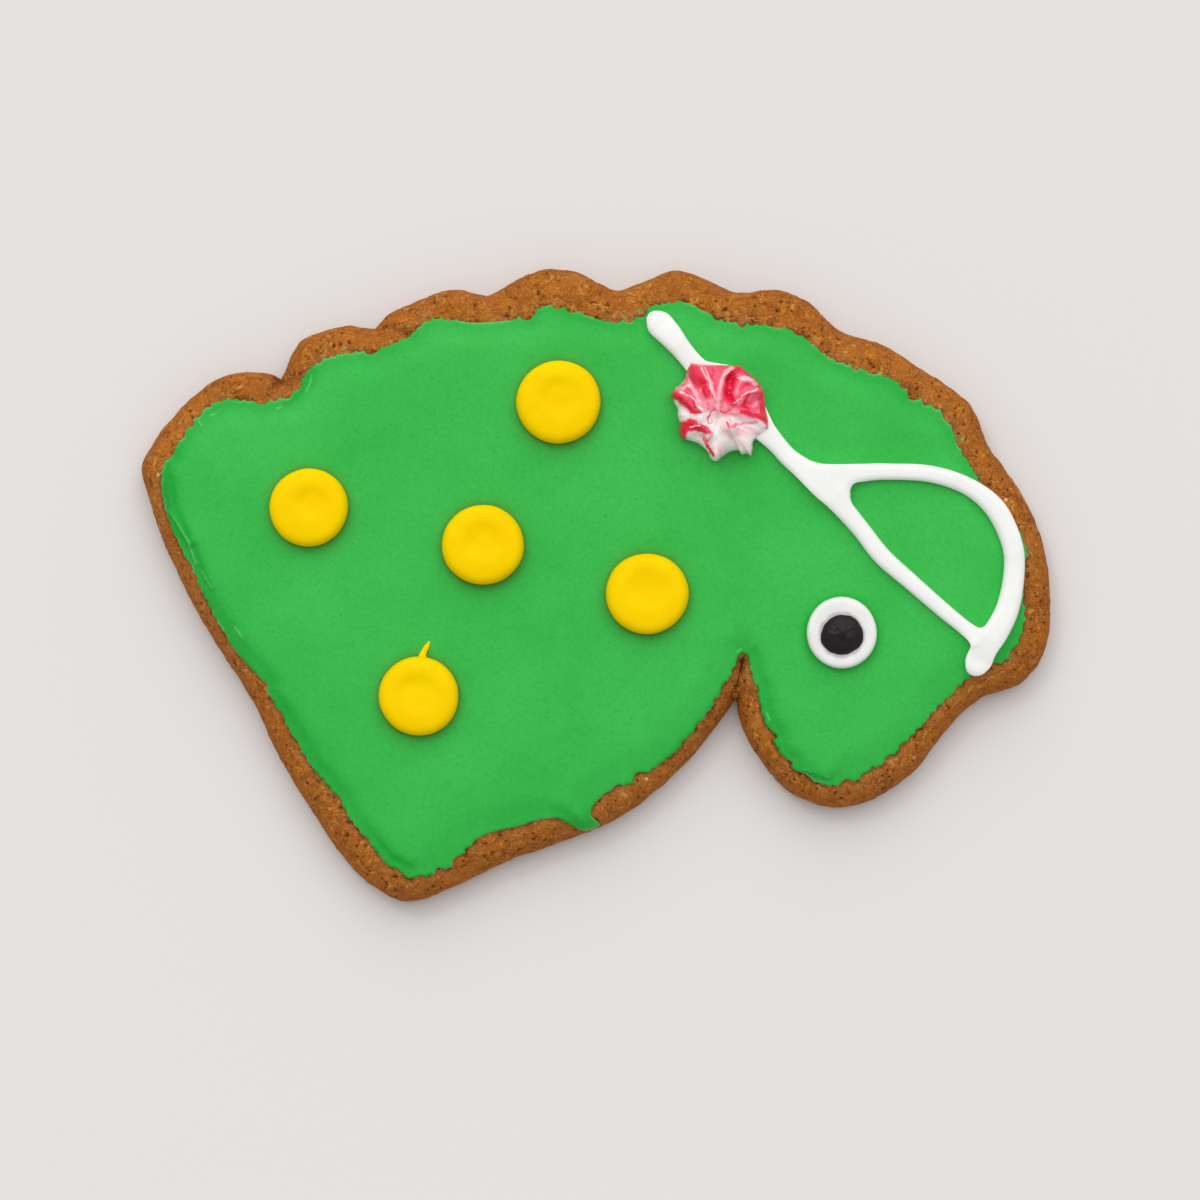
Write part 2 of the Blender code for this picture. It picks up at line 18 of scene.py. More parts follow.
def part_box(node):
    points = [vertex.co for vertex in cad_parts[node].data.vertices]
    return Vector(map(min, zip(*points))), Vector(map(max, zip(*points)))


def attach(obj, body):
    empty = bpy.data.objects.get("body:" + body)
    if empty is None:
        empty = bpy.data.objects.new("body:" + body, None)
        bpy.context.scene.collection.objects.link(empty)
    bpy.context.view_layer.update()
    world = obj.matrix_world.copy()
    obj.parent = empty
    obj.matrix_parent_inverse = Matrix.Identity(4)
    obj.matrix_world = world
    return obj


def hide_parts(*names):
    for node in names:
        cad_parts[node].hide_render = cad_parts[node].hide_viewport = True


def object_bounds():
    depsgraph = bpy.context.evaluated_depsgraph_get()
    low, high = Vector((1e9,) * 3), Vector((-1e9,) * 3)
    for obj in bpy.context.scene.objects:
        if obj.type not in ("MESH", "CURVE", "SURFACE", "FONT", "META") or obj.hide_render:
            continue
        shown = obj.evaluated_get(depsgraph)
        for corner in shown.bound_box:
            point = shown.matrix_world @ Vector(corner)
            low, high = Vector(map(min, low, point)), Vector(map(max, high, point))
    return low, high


MM = 0.001

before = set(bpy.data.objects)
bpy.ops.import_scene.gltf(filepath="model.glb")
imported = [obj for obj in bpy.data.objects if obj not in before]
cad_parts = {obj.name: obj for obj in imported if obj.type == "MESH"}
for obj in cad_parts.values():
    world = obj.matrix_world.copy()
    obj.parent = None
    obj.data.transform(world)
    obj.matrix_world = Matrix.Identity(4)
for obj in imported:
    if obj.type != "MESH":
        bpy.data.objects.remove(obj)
cad_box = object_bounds()


# ---------------------------------------------------------------- curves and loops in the plane


def cubic_piece(start, end, slope_in, slope_out, length, step):
    """Points about a step apart on a cubic piece, without its end, from its ends and the slopes there."""
    count = max(1, round(length / step))
    return [
        (2 * t**3 - 3 * t**2 + 1) * start
        + (t**3 - 2 * t**2 + t) * slope_in
        + (3 * t**2 - 2 * t**3) * end
        + (t**3 - t**2) * slope_out
        for t in (number / count for number in range(count))
    ]


def smooth_loop(points, step, corners=()):
    """A closed curve through the points, smooth except at the corners, as points about a step apart."""
    knots = np.array(points, float)
    ahead = np.roll(knots, -1, axis=0) - knots
    chord = np.linalg.norm(ahead, axis=1)
    leaving = ahead / chord[:, None]
    arriving = np.roll(leaving, 1, axis=0)
    weight = (chord / (chord + np.roll(chord, 1)))[:, None]
    tangent = arriving * weight + leaving * (1 - weight)
    corner = np.array([tuple(point) in set(corners) for point in points])[:, None]
    slopes_in = np.where(corner, leaving, tangent) * chord[:, None]
    slopes_out = np.roll(np.where(corner, arriving, tangent), -1, axis=0) * chord[:, None]
    loop = []
    for piece in zip(knots, np.roll(knots, -1, axis=0), slopes_in, slopes_out, chord):
        loop += cubic_piece(*piece, step)
    return np.array(loop)


def smooth_path(stations, step):
    """An open curve through rows that start with x and y, as rows about a step apart."""
    knots = np.array(stations, float)
    slopes = np.gradient(knots, axis=0)
    rows = []
    for start, end, slope_in, slope_out in zip(knots, knots[1:], slopes, slopes[1:]):
        length = np.linalg.norm((end - start)[:2])
        rows += cubic_piece(start, end, slope_in, slope_out, length, step)
    return np.array(rows + [knots[-1]])


def smooth_step(low, high, values):
    """0 up to the low value, 1 from the high one on, and a smooth rise between them."""
    share = np.clip((np.asarray(values) - low) / (high - low), 0, 1)
    return share * share * (3 - 2 * share)


def cone(away, reach):
    """1 at no distance, falling evenly to 0 at the reach."""
    return np.clip(1 - away / reach, 0, 1)


def hump(away, reach, power=2):
    """1 at no distance, falling smoothly to about a third at the reach."""
    return np.exp(-((away / reach) ** power))


def taper(along, slope):
    """1 along the middle of a line, falling to 0 at both its ends."""
    return np.clip(slope * along * (1 - along), 0, 1)


def away_from(places, middle):
    """How far each place lies from the middle, seen from above."""
    return np.linalg.norm(places[:, :2] - np.array(middle), axis=1)


def circle(count):
    """The angles of so many points round a circle, and the points for a radius of 1."""
    angles = np.arange(count) / count * 2 * math.pi
    return angles, np.column_stack([np.cos(angles), np.sin(angles)])


def point_tree(points):
    """A search tree of points that lie in the plane or in space."""
    tree = KDTree(len(points))
    for index, point in enumerate(points):
        tree.insert((*point, 0)[:3], index)
    tree.balance()
    return tree


def nearest(tree, places):
    """The number of the tree's point that is nearest to each place."""
    return np.array([tree.find((x, y, 0))[1] for x, y in places])


def distance_to_path(places, path):
    """Distance of each place to a short open line, and how far along it the nearest point lies, 0 to 1."""
    path = np.array(path, float)
    starts, along = path[:-1], np.diff(path, axis=0)
    offset = places[:, None] - starts[None]
    share = np.clip((offset * along).sum(2) / (along**2).sum(1), 0, 1)
    away = np.linalg.norm(offset - share[..., None] * along, axis=2)
    closest = away.argmin(axis=1)
    rows = np.arange(len(places))
    return away[rows, closest], (closest + share[rows, closest]) / len(starts)


class Loop:
    """A closed clockwise line with a quick signed distance to it."""

    def __init__(self, points):
        self.points = np.array(points)
        along = np.roll(self.points, -1, axis=0) - np.roll(self.points, 1, axis=0)
        along /= np.linalg.norm(along, axis=1)[:, None]
        self.inward = np.column_stack([along[:, 1], -along[:, 0]])
        self.tree = point_tree(self.points)

    def depth(self, places):
        """How far inside the loop each place lies, negative outside it."""
        index = nearest(self.tree, places)
        offset = places - self.points[index]
        away = np.inf
        for step in (-1, 1):
            edge = self.points[(index + step) % len(self.points)] - self.points[index]
            share = np.clip((offset * edge).sum(1) / (edge**2).sum(1), 0, 1)
            away = np.minimum(away, np.linalg.norm(offset - share[:, None] * edge, axis=1))
        return away * np.sign((offset * self.inward[index]).sum(1))

    def ring(self, inset):
        """The loop moved inwards, without the points that crowd where it turns tightly."""
        moved = self.points + self.inward * inset
        return moved[self.depth(moved) > 0.9 * inset]

    def grid(self, spacing, shallowest):
        """Places of a staggered grid that lie at least that deep inside the loop."""
        low, high = self.points.min(axis=0), self.points.max(axis=0)
        rows = []
        for number, y in enumerate(np.arange(low[1], high[1], spacing * math.sqrt(3) / 2)):
            x = np.arange(low[0] + number % 2 * spacing / 2, high[0], spacing)
            rows.append(np.column_stack([x, np.full(len(x), y)]))
        places = np.vstack(rows)
        return places[self.depth(places) > shallowest]


def grain(points, size, seed, octaves=3):
    """Uneven relief of about -1 to 1 whose largest bumps are about the given size across."""
    shift = Vector((seed * 17.3, seed * 31.7, seed * 5.1))
    flat = np.zeros((len(points), 3))
    flat[:, : points.shape[1]] = points
    return np.array([noise.fractal(Vector(p) / size + shift, 1.0, 2.0, octaves) for p in flat])


def shaken(points, amount, size, seeds, octaves=3):
    """Uneven steps of about that amount for each point, one column for each seed."""
    return amount * np.column_stack([grain(points, size, seed, octaves) for seed in seeds])


# ---------------------------------------------------------------- meshes


def triangulated(loop, inner):
    """The loop's area as places and triangles that face up, through the inner places too."""
    places = [tuple(place) for place in np.vstack([loop, inner])]
    result = delaunay_2d_cdt(places, [], [list(range(len(loop)))], 1, 1e-6)
    return np.array([tuple(place) for place in result[0]]), np.array(result[2])


def add_object(name, data):
    """Puts a mesh, a curve, a camera or a light into the scene."""
    thing = bpy.data.objects.new(name, data)
    bpy.context.scene.collection.objects.link(thing)
    return thing


def finish_mesh(name, points, faces, material):
    """A smoothly shaded piece from its points and faces, with the faces turned outwards."""
    mesh = bpy.data.meshes.new(name)
    mesh.from_pydata((np.asarray(points) * MM).tolist(), [], [list(map(int, f)) for f in faces])
    edit = bmesh.new()
    edit.from_mesh(mesh)
    bmesh.ops.recalc_face_normals(edit, faces=edit.faces)
    edit.to_mesh(mesh)
    edit.free()
    mesh.shade_smooth()
    mesh.materials.append(material)
    return add_object(name, mesh)


def evaluated(thing):
    """A new mesh of the object as its modifiers or its bevel shape it."""
    graph = bpy.context.evaluated_depsgraph_get()
    return bpy.data.meshes.new_from_object(thing.evaluated_get(graph))


def paint(piece, name, values):
    """Stores one number for each point of the piece, for its material to read."""
    layer = piece.data.attributes.new(name, "FLOAT", "POINT")
    layer.data.foreach_set("value", np.asarray(values, np.float32))


def vectors_of(layer, key):
    """The vectors that a mesh keeps in a layer, as rows."""
    values = np.empty(len(layer) * 3, np.float32)
    layer.foreach_get(key, values)
    return values.reshape(-1, 3).astype(float)


def points_of(piece):
    return vectors_of(piece.data.vertices, "co") / MM


def move_points(piece, points):
    piece.data.vertices.foreach_set("co", (np.asarray(points, np.float32) * MM).ravel())
    piece.data.update()


def set_in_frame(piece, node):
    """The piece rides on the biscuit's one body and stands for its CAD node."""
    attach(piece, "root")
    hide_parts(node)


def strip_faces(first_ring, second_ring, count):
    """Quads between two rings of points, whose first points have these numbers."""
    step = np.arange(count)
    after = (step + 1) % count
    corners = [first_ring + step, first_ring + after, second_ring + after, second_ring + step]
    return np.column_stack(corners)


def cap_faces(count, rings):
    """Faces that fan out from point 0, run down from ring to ring and close the last ring."""
    faces = [[0, 1 + i, 1 + (i + 1) % count] for i in range(count)]
    for ring in range(rings - 1):
        faces += list(strip_faces(1 + ring * count, 1 + (ring + 1) * count, count))
    faces.append(list(1 + (rings - 1) * count + np.arange(count)[::-1]))
    return faces


# ---------------------------------------------------------------- materials


def linear(hex_colour):
    """An sRGB hex colour as linear RGBA."""
    channels = [int(hex_colour[i : i + 2], 16) / 255 for i in (1, 3, 5)]
    return (*[c / 12.92 if c <= 0.04045 else ((c + 0.055) / 1.055) ** 2.4 for c in channels], 1)


def add_node(material, kind, inputs=None, stops=None, output=0, **settings):
    """Adds a shader node and gives one of its outputs. Its inputs are values, hex colours or the outputs
    of other nodes, and its stops are a ramp's."""
    tree = material.node_tree
    node = tree.nodes.new("ShaderNode" + kind)
    for name, value in settings.items():
        setattr(node, name, value)
    if stops:
        ramp = node.color_ramp.elements
        for position, _ in stops[1:-1]:
            ramp.new(position)
        for element, (position, colour) in zip(ramp, stops):
            element.position = position
            element.color = linear(colour) if isinstance(colour, str) else (colour,) * 3 + (1,)
    for socket, value in (inputs or {}).items():
        if isinstance(value, bpy.types.NodeSocket):
            tree.links.new(value, node.inputs[socket])
        else:
            node.inputs[socket].default_value = linear(value) if isinstance(value, str) else value
    return node.outputs[output]


COLOURS = {"data_type": "RGBA", "output": 2}  # settings of a Mix node that mixes two colours


def new_material(name, values):
    """A material with its Principled shader's own sockets set, and its coordinates in millimetres."""
    material = bpy.data.materials.new(name)
    material.use_nodes = True
    shader = material.node_tree.nodes["Principled BSDF"]
    for socket, value in values.items():
        shader.inputs[socket].default_value = value
    place = add_node(material, "TexCoord", output="Object")
    in_mm = add_node(material, "VectorMath", {0: place, 1: (1 / MM,) * 3}, operation="MULTIPLY")
    return material, shader, in_mm


def finish_material(material, shader, colour, relief):
    """Gives the shader its colour, and the relief that is too fine for the mesh."""
    normal = add_node(material, "Bump", relief)
    material.node_tree.links.new(colour, shader.inputs["Base Color"])
    material.node_tree.links.new(normal, shader.inputs["Normal"])
    return material


def flakes(material, place, size):
    """Long cells of the given size in mm: a shade for each, and the distance to the crease between two."""
    scale = tuple(1 / length for length in size)
    stretched = add_node(material, "VectorMath", {0: place, 1: scale}, operation="MULTIPLY")
    cells = {"Vector": stretched, "Scale": 1.0}
    chance = add_node(material, "TexVoronoi", cells, output="Color", feature="F1")
    crease = add_node(material, "TexVoronoi", cells, output="Distance", feature="DISTANCE_TO_EDGE")
    return add_node(material, "SeparateColor", {0: chance}), crease


def gingerbread():
    """Gingerbread: a spiced dough baked until it browns. The crumb tore into short curled flakes and a few
    pores, with painted shade in the creases between the flakes and in the pores; it is dry and matt, orange
    where the dough is thinner and darker towards its outer edge. A few grains of spice show, with whitish
    grains of sugar that are partly painted glints, and sugar from the icing has bloomed along the icing's
    edge."""
    values = {"Roughness": 0.75, "IOR": 1.45, "Specular IOR Level": 0.12}
    material, shader, place = new_material("baked_gingerbread", values)
    at = {"Vector": place}
    # A swirl curls the flakes, which lie along or across in patches. Sizes are in mm.
    swirl_size, swirl_push, patch_size = 2.4, 5.0, 1.8
    flake_length, flake_width, flake_height = 1.9, 0.5, 0.6
    swirl = add_node(material, "TexNoise", at | {"Scale": 1 / swirl_size, "Detail": 2}, output="Color")
    centred = add_node(material, "VectorMath", {0: swirl, 1: (0.5,) * 3}, operation="SUBTRACT")
    pushed = add_node(material, "VectorMath", {0: centred, 1: (swirl_push,) * 3}, operation="MULTIPLY")
    curled = add_node(material, "VectorMath", {0: place, 1: pushed}, operation="ADD")
    patches = add_node(material, "TexNoise", at | {"Scale": 1 / patch_size, "Detail": 1})
    way = add_node(material, "ValToRGB", {0: patches}, [(0.47, 0.0), (0.53, 1.0)])
    along = flakes(material, curled, (flake_length, flake_width, flake_height))
    across = flakes(material, curled, (flake_width, flake_length, flake_height))
    shade, crease = [
        add_node(material, "Mix", {0: way, 6: one, 7: other}, **COLOURS)
        for one, other in zip(along, across)
    ]
    tones = [(0.06, "#7f451a"), (0.15, "#a86024"), (0.5, "#b76e27"), (0.85, "#c27a2c"), (0.94, "#d0934a")]
    crumb = add_node(material, "ValToRGB", {0: shade}, tones)
    bake_size = 4.5  # over which it browned unevenly
    uneven = add_node(material, "TexNoise", at | {"Scale": 1 / bake_size, "Detail": 3, "Roughness": 0.6})
    browns = [(0.35, "#a95f25"), (0.5, "#b96c24"), (0.65, "#cd7a1f")]
    bake = add_node(material, "ValToRGB", {0: uneven}, browns)
    # Painted shade in the creases between the flakes.
    crease_shade = add_node(material, "ValToRGB", {0: crease}, [(0.0, 0.38), (0.04, 0.25), (0.11, 0.0)])
    # Pores are pits in the mesh, and finer ones of 0.3 mm lie in about one cell in five; both, and the mesh's
    # other hollows, are darkened with painted shade.
    pore_spacing, not_picked = 1.2, 0.7
    centre = add_node(material, "TexVoronoi", at | {"Scale": 1 / pore_spacing}, feature="F1")
    round_pits = add_node(material, "ValToRGB", {0: centre}, [(0.0, 0.8), (0.1, 0.7), (0.15, 0.0)])
    chance = centre.node.outputs["Color"]
    picked = add_node(material, "Math", {0: chance, 1: not_picked}, operation="GREATER_THAN")
    fine = add_node(material, "Math", {0: round_pits, 1: picked}, operation="MULTIPLY")
    in_mesh = add_node(material, "Attribute", output="Fac", attribute_name="pit_and_shade")
    pores = add_node(material, "Math", {0: fine, 1: in_mesh}, operation="MAXIMUM")
    layers = [(0.4, bake), (crease_shade, "#64340f"), (pores, "#4a210c")]
    # Grains of 0.5 mm show where the surface cuts them: spice in cells of 3 mm, and in cells of 5.3 mm
    # whitish grains of sugar that are partly painted glints.
    for size, colour, reach in ((3.0, "#dc8c1f", 0.075), (5.3, "#e8c48c", 0.04)):
        centre = add_node(material, "TexVoronoi", at | {"Scale": 1 / size}, feature="F1")
        grains = add_node(material, "ValToRGB", {0: centre}, [(reach, 0.9), (1.4 * reach, 0.0)])
        layers.append((grains, colour))
    # Painted on the mesh: darker towards the outer edge, the sugar bloom and the knife's film.
    for name, colour in (("darker_outer_edge", "#9a5418"), ("bloom", "#bb8552"), ("smear", "#8fae62")):
        painted = add_node(material, "Attribute", output="Fac", attribute_name=name)
        layers.append((painted, colour))
    for share, colour in layers:
        crumb = add_node(material, "Mix", {0: share, 6: crumb, 7: colour}, **COLOURS)
    # Between the creases the flakes stand up, rough with grit.
    grit_size = 0.35
    raised = add_node(material, "ValToRGB", {0: crease}, [(0.0, 0.0), (0.12, 0.7), (0.3, 1.0)])
    grit = add_node(material, "TexNoise", at | {"Scale": 1 / grit_size, "Detail": 3, "Roughness": 0.7})
    rough = add_node(material, "Math", {0: grit, 1: raised}, operation="ADD")
    height = add_node(material, "Math", {0: rough, 1: pores}, operation="SUBTRACT")
    relief = {"Strength": 0.8, "Distance": 0.12 * MM, "Height": height}
    return finish_material(material, shader, crumb, relief)


def set_icing(name, colour, cloud, cloud_size, painted_layers=(), roughness=0.5, sheen=0.1, dusty=1.0):
    """Royal icing: sugar and egg white that sets to a hard satin skin. Its dye clouds a little, and fine air
    bubbles leave pinholes, darkened with painted shade, and a faint grain, less so where it is fresh from the
    bag and less dusty. The painted layers are colours painted on the mesh: another dye that bled in, and on
    the green sheet also painted shade and painted highlights."""
    values = {"Roughness": roughness, "IOR": 1.45, "Specular IOR Level": sheen}
    values.update({"Subsurface Weight": 0.1, "Subsurface Scale": 1 * MM})
    material, shader, place = new_material(name, values)
    at = {"Vector": place}
    clouds = add_node(material, "TexNoise", at | {"Scale": 1 / cloud_size, "Detail": 5, "Roughness": 0.6})
    skin = add_node(material, "ValToRGB", {0: clouds}, [(0.35, colour), (0.65, cloud)])
    # Colours painted on the mesh: a dye that bled in, and on the green sheet also painted shade and painted
    # highlights.
    for stain_and_shade, dye in painted_layers:
        bled = add_node(material, "Attribute", output="Fac", attribute_name=stain_and_shade)
        skin = add_node(material, "Mix", {0: bled, 6: skin, 7: dye}, **COLOURS)
    # The dry skin is grainy, and pinholes of 0.2 mm are darkened with painted shade.
    grain_size, pinhole_spacing = 0.45, 2.1
    texture = at | {"Scale": 1 / grain_size, "Detail": 3, "Roughness": 0.75}
    grainy = add_node(material, "TexNoise", texture)
    speckle = add_node(material, "ValToRGB", {0: grainy}, [(0.3, 0.84), (0.5, 0.96), (0.7, 1.0)])
    bubbles = add_node(material, "TexVoronoi", at | {"Scale": 1 / pinhole_spacing}, feature="F1")
    pinholes = add_node(material, "ValToRGB", {0: bubbles}, [(0.02, 0.0), (0.07, 1.0)])
    for share, shade in ((dusty, speckle), (0.4 * dusty, pinholes)):
        inputs = {0: share, 6: skin, 7: shade}
        skin = add_node(material, "Mix", inputs, blend_type="MULTIPLY", **COLOURS)
    height = add_node(material, "Math", {0: grainy, 1: pinholes}, operation="ADD")
    relief = {"Strength": 0.3 * dusty, "Distance": 0.05 * MM, "Height": height}
    return finish_material(material, shader, skin, relief)


def marbled_icing():
    """Two-tone icing, pink and white side by side in one bag, drawn into streaks by the star nozzle. Narrow
    whitish lines along its ridges are painted highlights.
    """
    values = {"Roughness": 0.14, "IOR": 1.46, "Specular IOR Level": 0.45}
    values.update({"Subsurface Weight": 0.15, "Subsurface Scale": 0.8 * MM})
    material, shader, place = new_material("marbled_royal_icing", values)
    tint = add_node(material, "Attribute", output="Fac", attribute_name="pink")
    tones = [(0.0, "#fdf5f2"), (0.25, "#fdc0ca"), (0.55, "#f9637d"), (0.8, "#ef3558"), (1.0, "#e0163a")]
    streaks = add_node(material, "ValToRGB", {0: tint}, tones)
    wrinkle_size = 0.8  # the skin wrinkled a little where it was drawn
    drawn = {"Vector": place, "Scale": 1 / wrinkle_size, "Detail": 2, "Distortion": 0.6}
    wrinkles = add_node(material, "TexNoise", drawn)
    relief = {"Strength": 0.5, "Distance": 0.12 * MM, "Height": wrinkles}
    return finish_material(material, shader, streaks, relief)


# ---------------------------------------------------------------- the biscuit

WIDEST_LINE = 2.2  # height of the line where the wall is widest
PLATEAU = 6.4  # height at which the shoulder ends
SHOULDER_WIDTH = 3.4
DOME_REACH = 14.0  # how far in from the shoulder the top still rises
OUTLINE_STEP = 0.22
CRUMB_STEP = 0.22  # spacing of the mesh where the crumb shows
# The wall below the widest line: height and how far it has drawn in.
WALL = [(1.75, 0.02), (1.3, 0.08), (0.85, 0.2), (0.45, 0.36), (0.15, 0.52), (0.0, 0.7)]


def widest_loop():
    """The CAD biscuit's outline: the loop of its points on the widest line, in order round it."""
    edit = bmesh.new()
    edit.from_mesh(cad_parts["biscuit"].data)
    bmesh.ops.remove_doubles(edit, verts=edit.verts, dist=0.001 * MM)
    rim = {vert for vert in edit.verts if abs(vert.co.z / MM - WIDEST_LINE) < 0.01}
    ahead = {
        vert: [edge.other_vert(vert) for edge in vert.link_edges if edge.other_vert(vert) in rim]
        for vert in rim
    }
    first = min(rim, key=lambda vert: vert.co.x)
    way = [first, max(ahead[first], key=lambda vert: vert.co.y)]
    while way[-1] is not first:
        way.append(next(vert for vert in ahead[way[-1]] if vert is not way[-2]))
    knots = [(vert.co.x / MM, vert.co.y / MM) for vert in way[:-1]]
    edit.free()
    return knots


def sharp_points(knots, least_turn=math.radians(50)):
    """The knots where the line turns sharply."""
    points = np.array(knots)
    ahead = np.roll(points, -1, axis=0) - points
    heading = np.arctan2(ahead[:, 1], ahead[:, 0])
    turn = (heading - np.roll(heading, 1) + math.pi) % (2 * math.pi) - math.pi
    return [knot for knot, angle in zip(knots, turn) if abs(angle) > least_turn]


BACK_NOTCH = (-41.6, 26.6)
NOTCH_CLOSED = 0.6  # how far the dough rose together at the bottom of the back's notch

outline_knots = [
    (x, y + NOTCH_CLOSED) if math.dist((x, y), BACK_NOTCH) < NOTCH_CLOSED else (x, y)
    for x, y in widest_loop()
]
biscuit_edge = Loop(smooth_loop(outline_knots, OUTLINE_STEP, sharp_points(outline_knots)))
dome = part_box("biscuit")[1].z / MM - PLATEAU

# Where one hump of the back grew over its neighbour at the notch.
BACK_SEAM = [(-42.8, 27.75), (-42.1, 27.25), (-41.5, 26.85), (-42.3, 26.1)]
# Creases in the dough: the points each runs through, its depth and its half width.
CREASES = [
    ([(18.3, -15.0), (18.7, -12.4), (19.3, -9.9)], 0.9, 0.5),
    (BACK_SEAM, 1.4, 0.35),
    ([(-29.2, 33.9), (-25.0, 33.0)], 0.8, 0.9),
]
# A crumb of dough that stuck where the throat opens: its middle, its radius and how much taller it is.
DOUGH_BALL, BALL_RADIUS, BALL_STRETCH = (18.35, -14.55), 0.46, 1.6


def biscuit_height(places):
    """Height of the biscuit's upper face: the shoulder's quarter ellipse, the dome and the creases."""
    depth = np.maximum(biscuit_edge.depth(places), 0)
    shoulder = cone(depth, SHOULDER_WIDTH)
    middle = np.clip((depth - SHOULDER_WIDTH) / DOME_REACH, 0, 1)
    height = WIDEST_LINE + (PLATEAU - WIDEST_LINE) * np.sqrt(1 - shoulder**2)
    height += dome * middle * (2 - middle)
    for path, drop, half_width in CREASES:
        away, _ = distance_to_path(places, path)
        height -= drop * hump(away, half_width) * np.sqrt(1 - shoulder)
    away = away_from(places, DOUGH_BALL)
    return height + BALL_STRETCH * np.sqrt(np.clip(BALL_RADIUS**2 - away**2, 0, None))


# ---------------------------------------------------------------- the green icing

# Spots: middle, size along X and Y, then the dimple's place and reach in shares of the radius.
SPOTS = [
    ((-4.9, 24.0), (11.0, 10.9), (0.05, 0.12), 0.42),
    ((-37.6, 10.2), (10.3, 10.2), (0.06, 0.12), 0.38),
    ((-14.8, 5.3), (10.7, 10.5), (0.02, 0.08), 0.42),
    ((6.7, -1.1), (10.8, 10.6), (0.06, 0.10), 0.46),
    ((-23.2, -14.5), (10.5, 10.3), (-0.02, 0.10), 0.45),
]
EYE_MIDDLE, EYE_SIZE, EYE_HEIGHT = (32.2, -6.2), (9.2, 9.4), 1.9
DROPS = [(middle, size) for middle, size, _, _ in SPOTS] + [(EYE_MIDDLE, EYE_SIZE)]

ICING_STEP, CALM_STEP = 0.14, 1.5  # spacing of the points of its edge, torn and untorn
ICING_THICKNESS = 1.05
LIP_WIDTH = 0.3
LIP_HEIGHT = 0.55
LIP_RISE = 0.16  # how high the outermost edge stands over the biscuit
FLANGE_WIDTH = 0.6  # the thin edge before the icing swells
STEEP_SWELL, GENTLE_SWELL = 1.5, 3.5  # width of the swell at the rump and elsewhere
SUNK = 0.1  # how far one piece of icing presses into what it lies on
# Slow waves of the sheet: height, size and seed.
WAVES = [(0.05, 9.0, 21), (0.015, 2.2, 22)]

# The icing's edge, clockwise from the rump.
ICING_EDGE = [
    (-57.0, 14.6), (-55.6, 17.5), (-53.8, 20.2), (-49.3, 24.4), (-43.4, 24.0), (-40.3, 25.0),
    (-38.0, 27.8), (-35.5, 29.9), (-32.3, 30.5), (-27.3, 31.3), (-24.4, 32.8), (-21.8, 34.9),
    (-16.0, 34.5), (-8.6, 35.6), (-6.7, 36.5), (2.2, 34.7), (5.4, 35.1), (7.9, 36.9),
    (11.0, 37.2), (16.5, 34.8), (25.4, 33.5), (31.6, 29.4),
    (38.2, 27.3), (43.8, 23.6), (45.9, 22.3), (46.9, 20.0), (50.5, 13.4), (54.0, 9.1), (56.6, 4.9),
    (56.7, 3.6), (56.0, 2.5), (55.8, 0.9), (56.1, -5.6), (54.6, -9.0), (48.8, -12.3), (44.3, -16.7),
    (37.6, -23.4), (32.0, -26.3),
    (26.4, -24.3), (22.6, -18.6), (20.9, -12.9), (20.2, -10.4), (19.9, -9.3), (19.35, -8.9), (18.75, -9.4),
    (18.2, -10.6), (16.9, -13.1), (15.0, -16.2), (11.0, -21.1), (4.5, -26.0), (0.7, -27.8),
    (-0.7, -30.1), (0.5, -31.6), (-1.0, -32.3), (-5.2, -30.6),
    (-10.0, -31.6), (-15.2, -33.1), (-19.5, -37.1), (-24.0, -38.4), (-29.6, -34.2),
    (-34.4, -27.2), (-37.8, -22.9), (-43.3, -13.5), (-49.0, -5.9), (-53.9, 3.8), (-56.1, 8.6),
    (-56.8, 11.2),
]
# Stretches where the icing flowed to a calm edge: centre and reach.
CALM_EDGES = [
    ((19.35, -9.0), 1.3), ((-2.0, -31.0), 6.5), ((0.0, 35.2), 2.5), ((-14.0, 34.8), 3.5),
    ((-12.0, -32.5), 4.0),
]
# Larger tears: where, and their length along the edge and depth.
DEEP_TEARS = [
    ((23.4, -20.1), 2.0, 0.8), ((25.7, -23.4), 1.8, 0.7), ((27.3, -25.2), 1.5, 0.4),
    ((36.5, -24.2), 1.4, 0.6), ((-42.9, -13.0), 1.8, 0.5), ((-30.7, -33.4), 1.3, 0.45),
]
BITE_LENGTHS = (0.7, 0.9, 1.1, 1.3, 1.7, 2.3)
BITE_DEPTHS = (0.14, 0.38)  # least and most, in lengths of the bite
BITE_LEANS = (0.7, 1.5)  # below 1 the bite is deepest near its start, above 1 near its end
CUSP_REACH = 0.24  # how far the cusps between the bites stand out past the smooth edge
WANDER, WANDER_SIZE = 0.14, 3.0  # how far the edge strays, and over what length


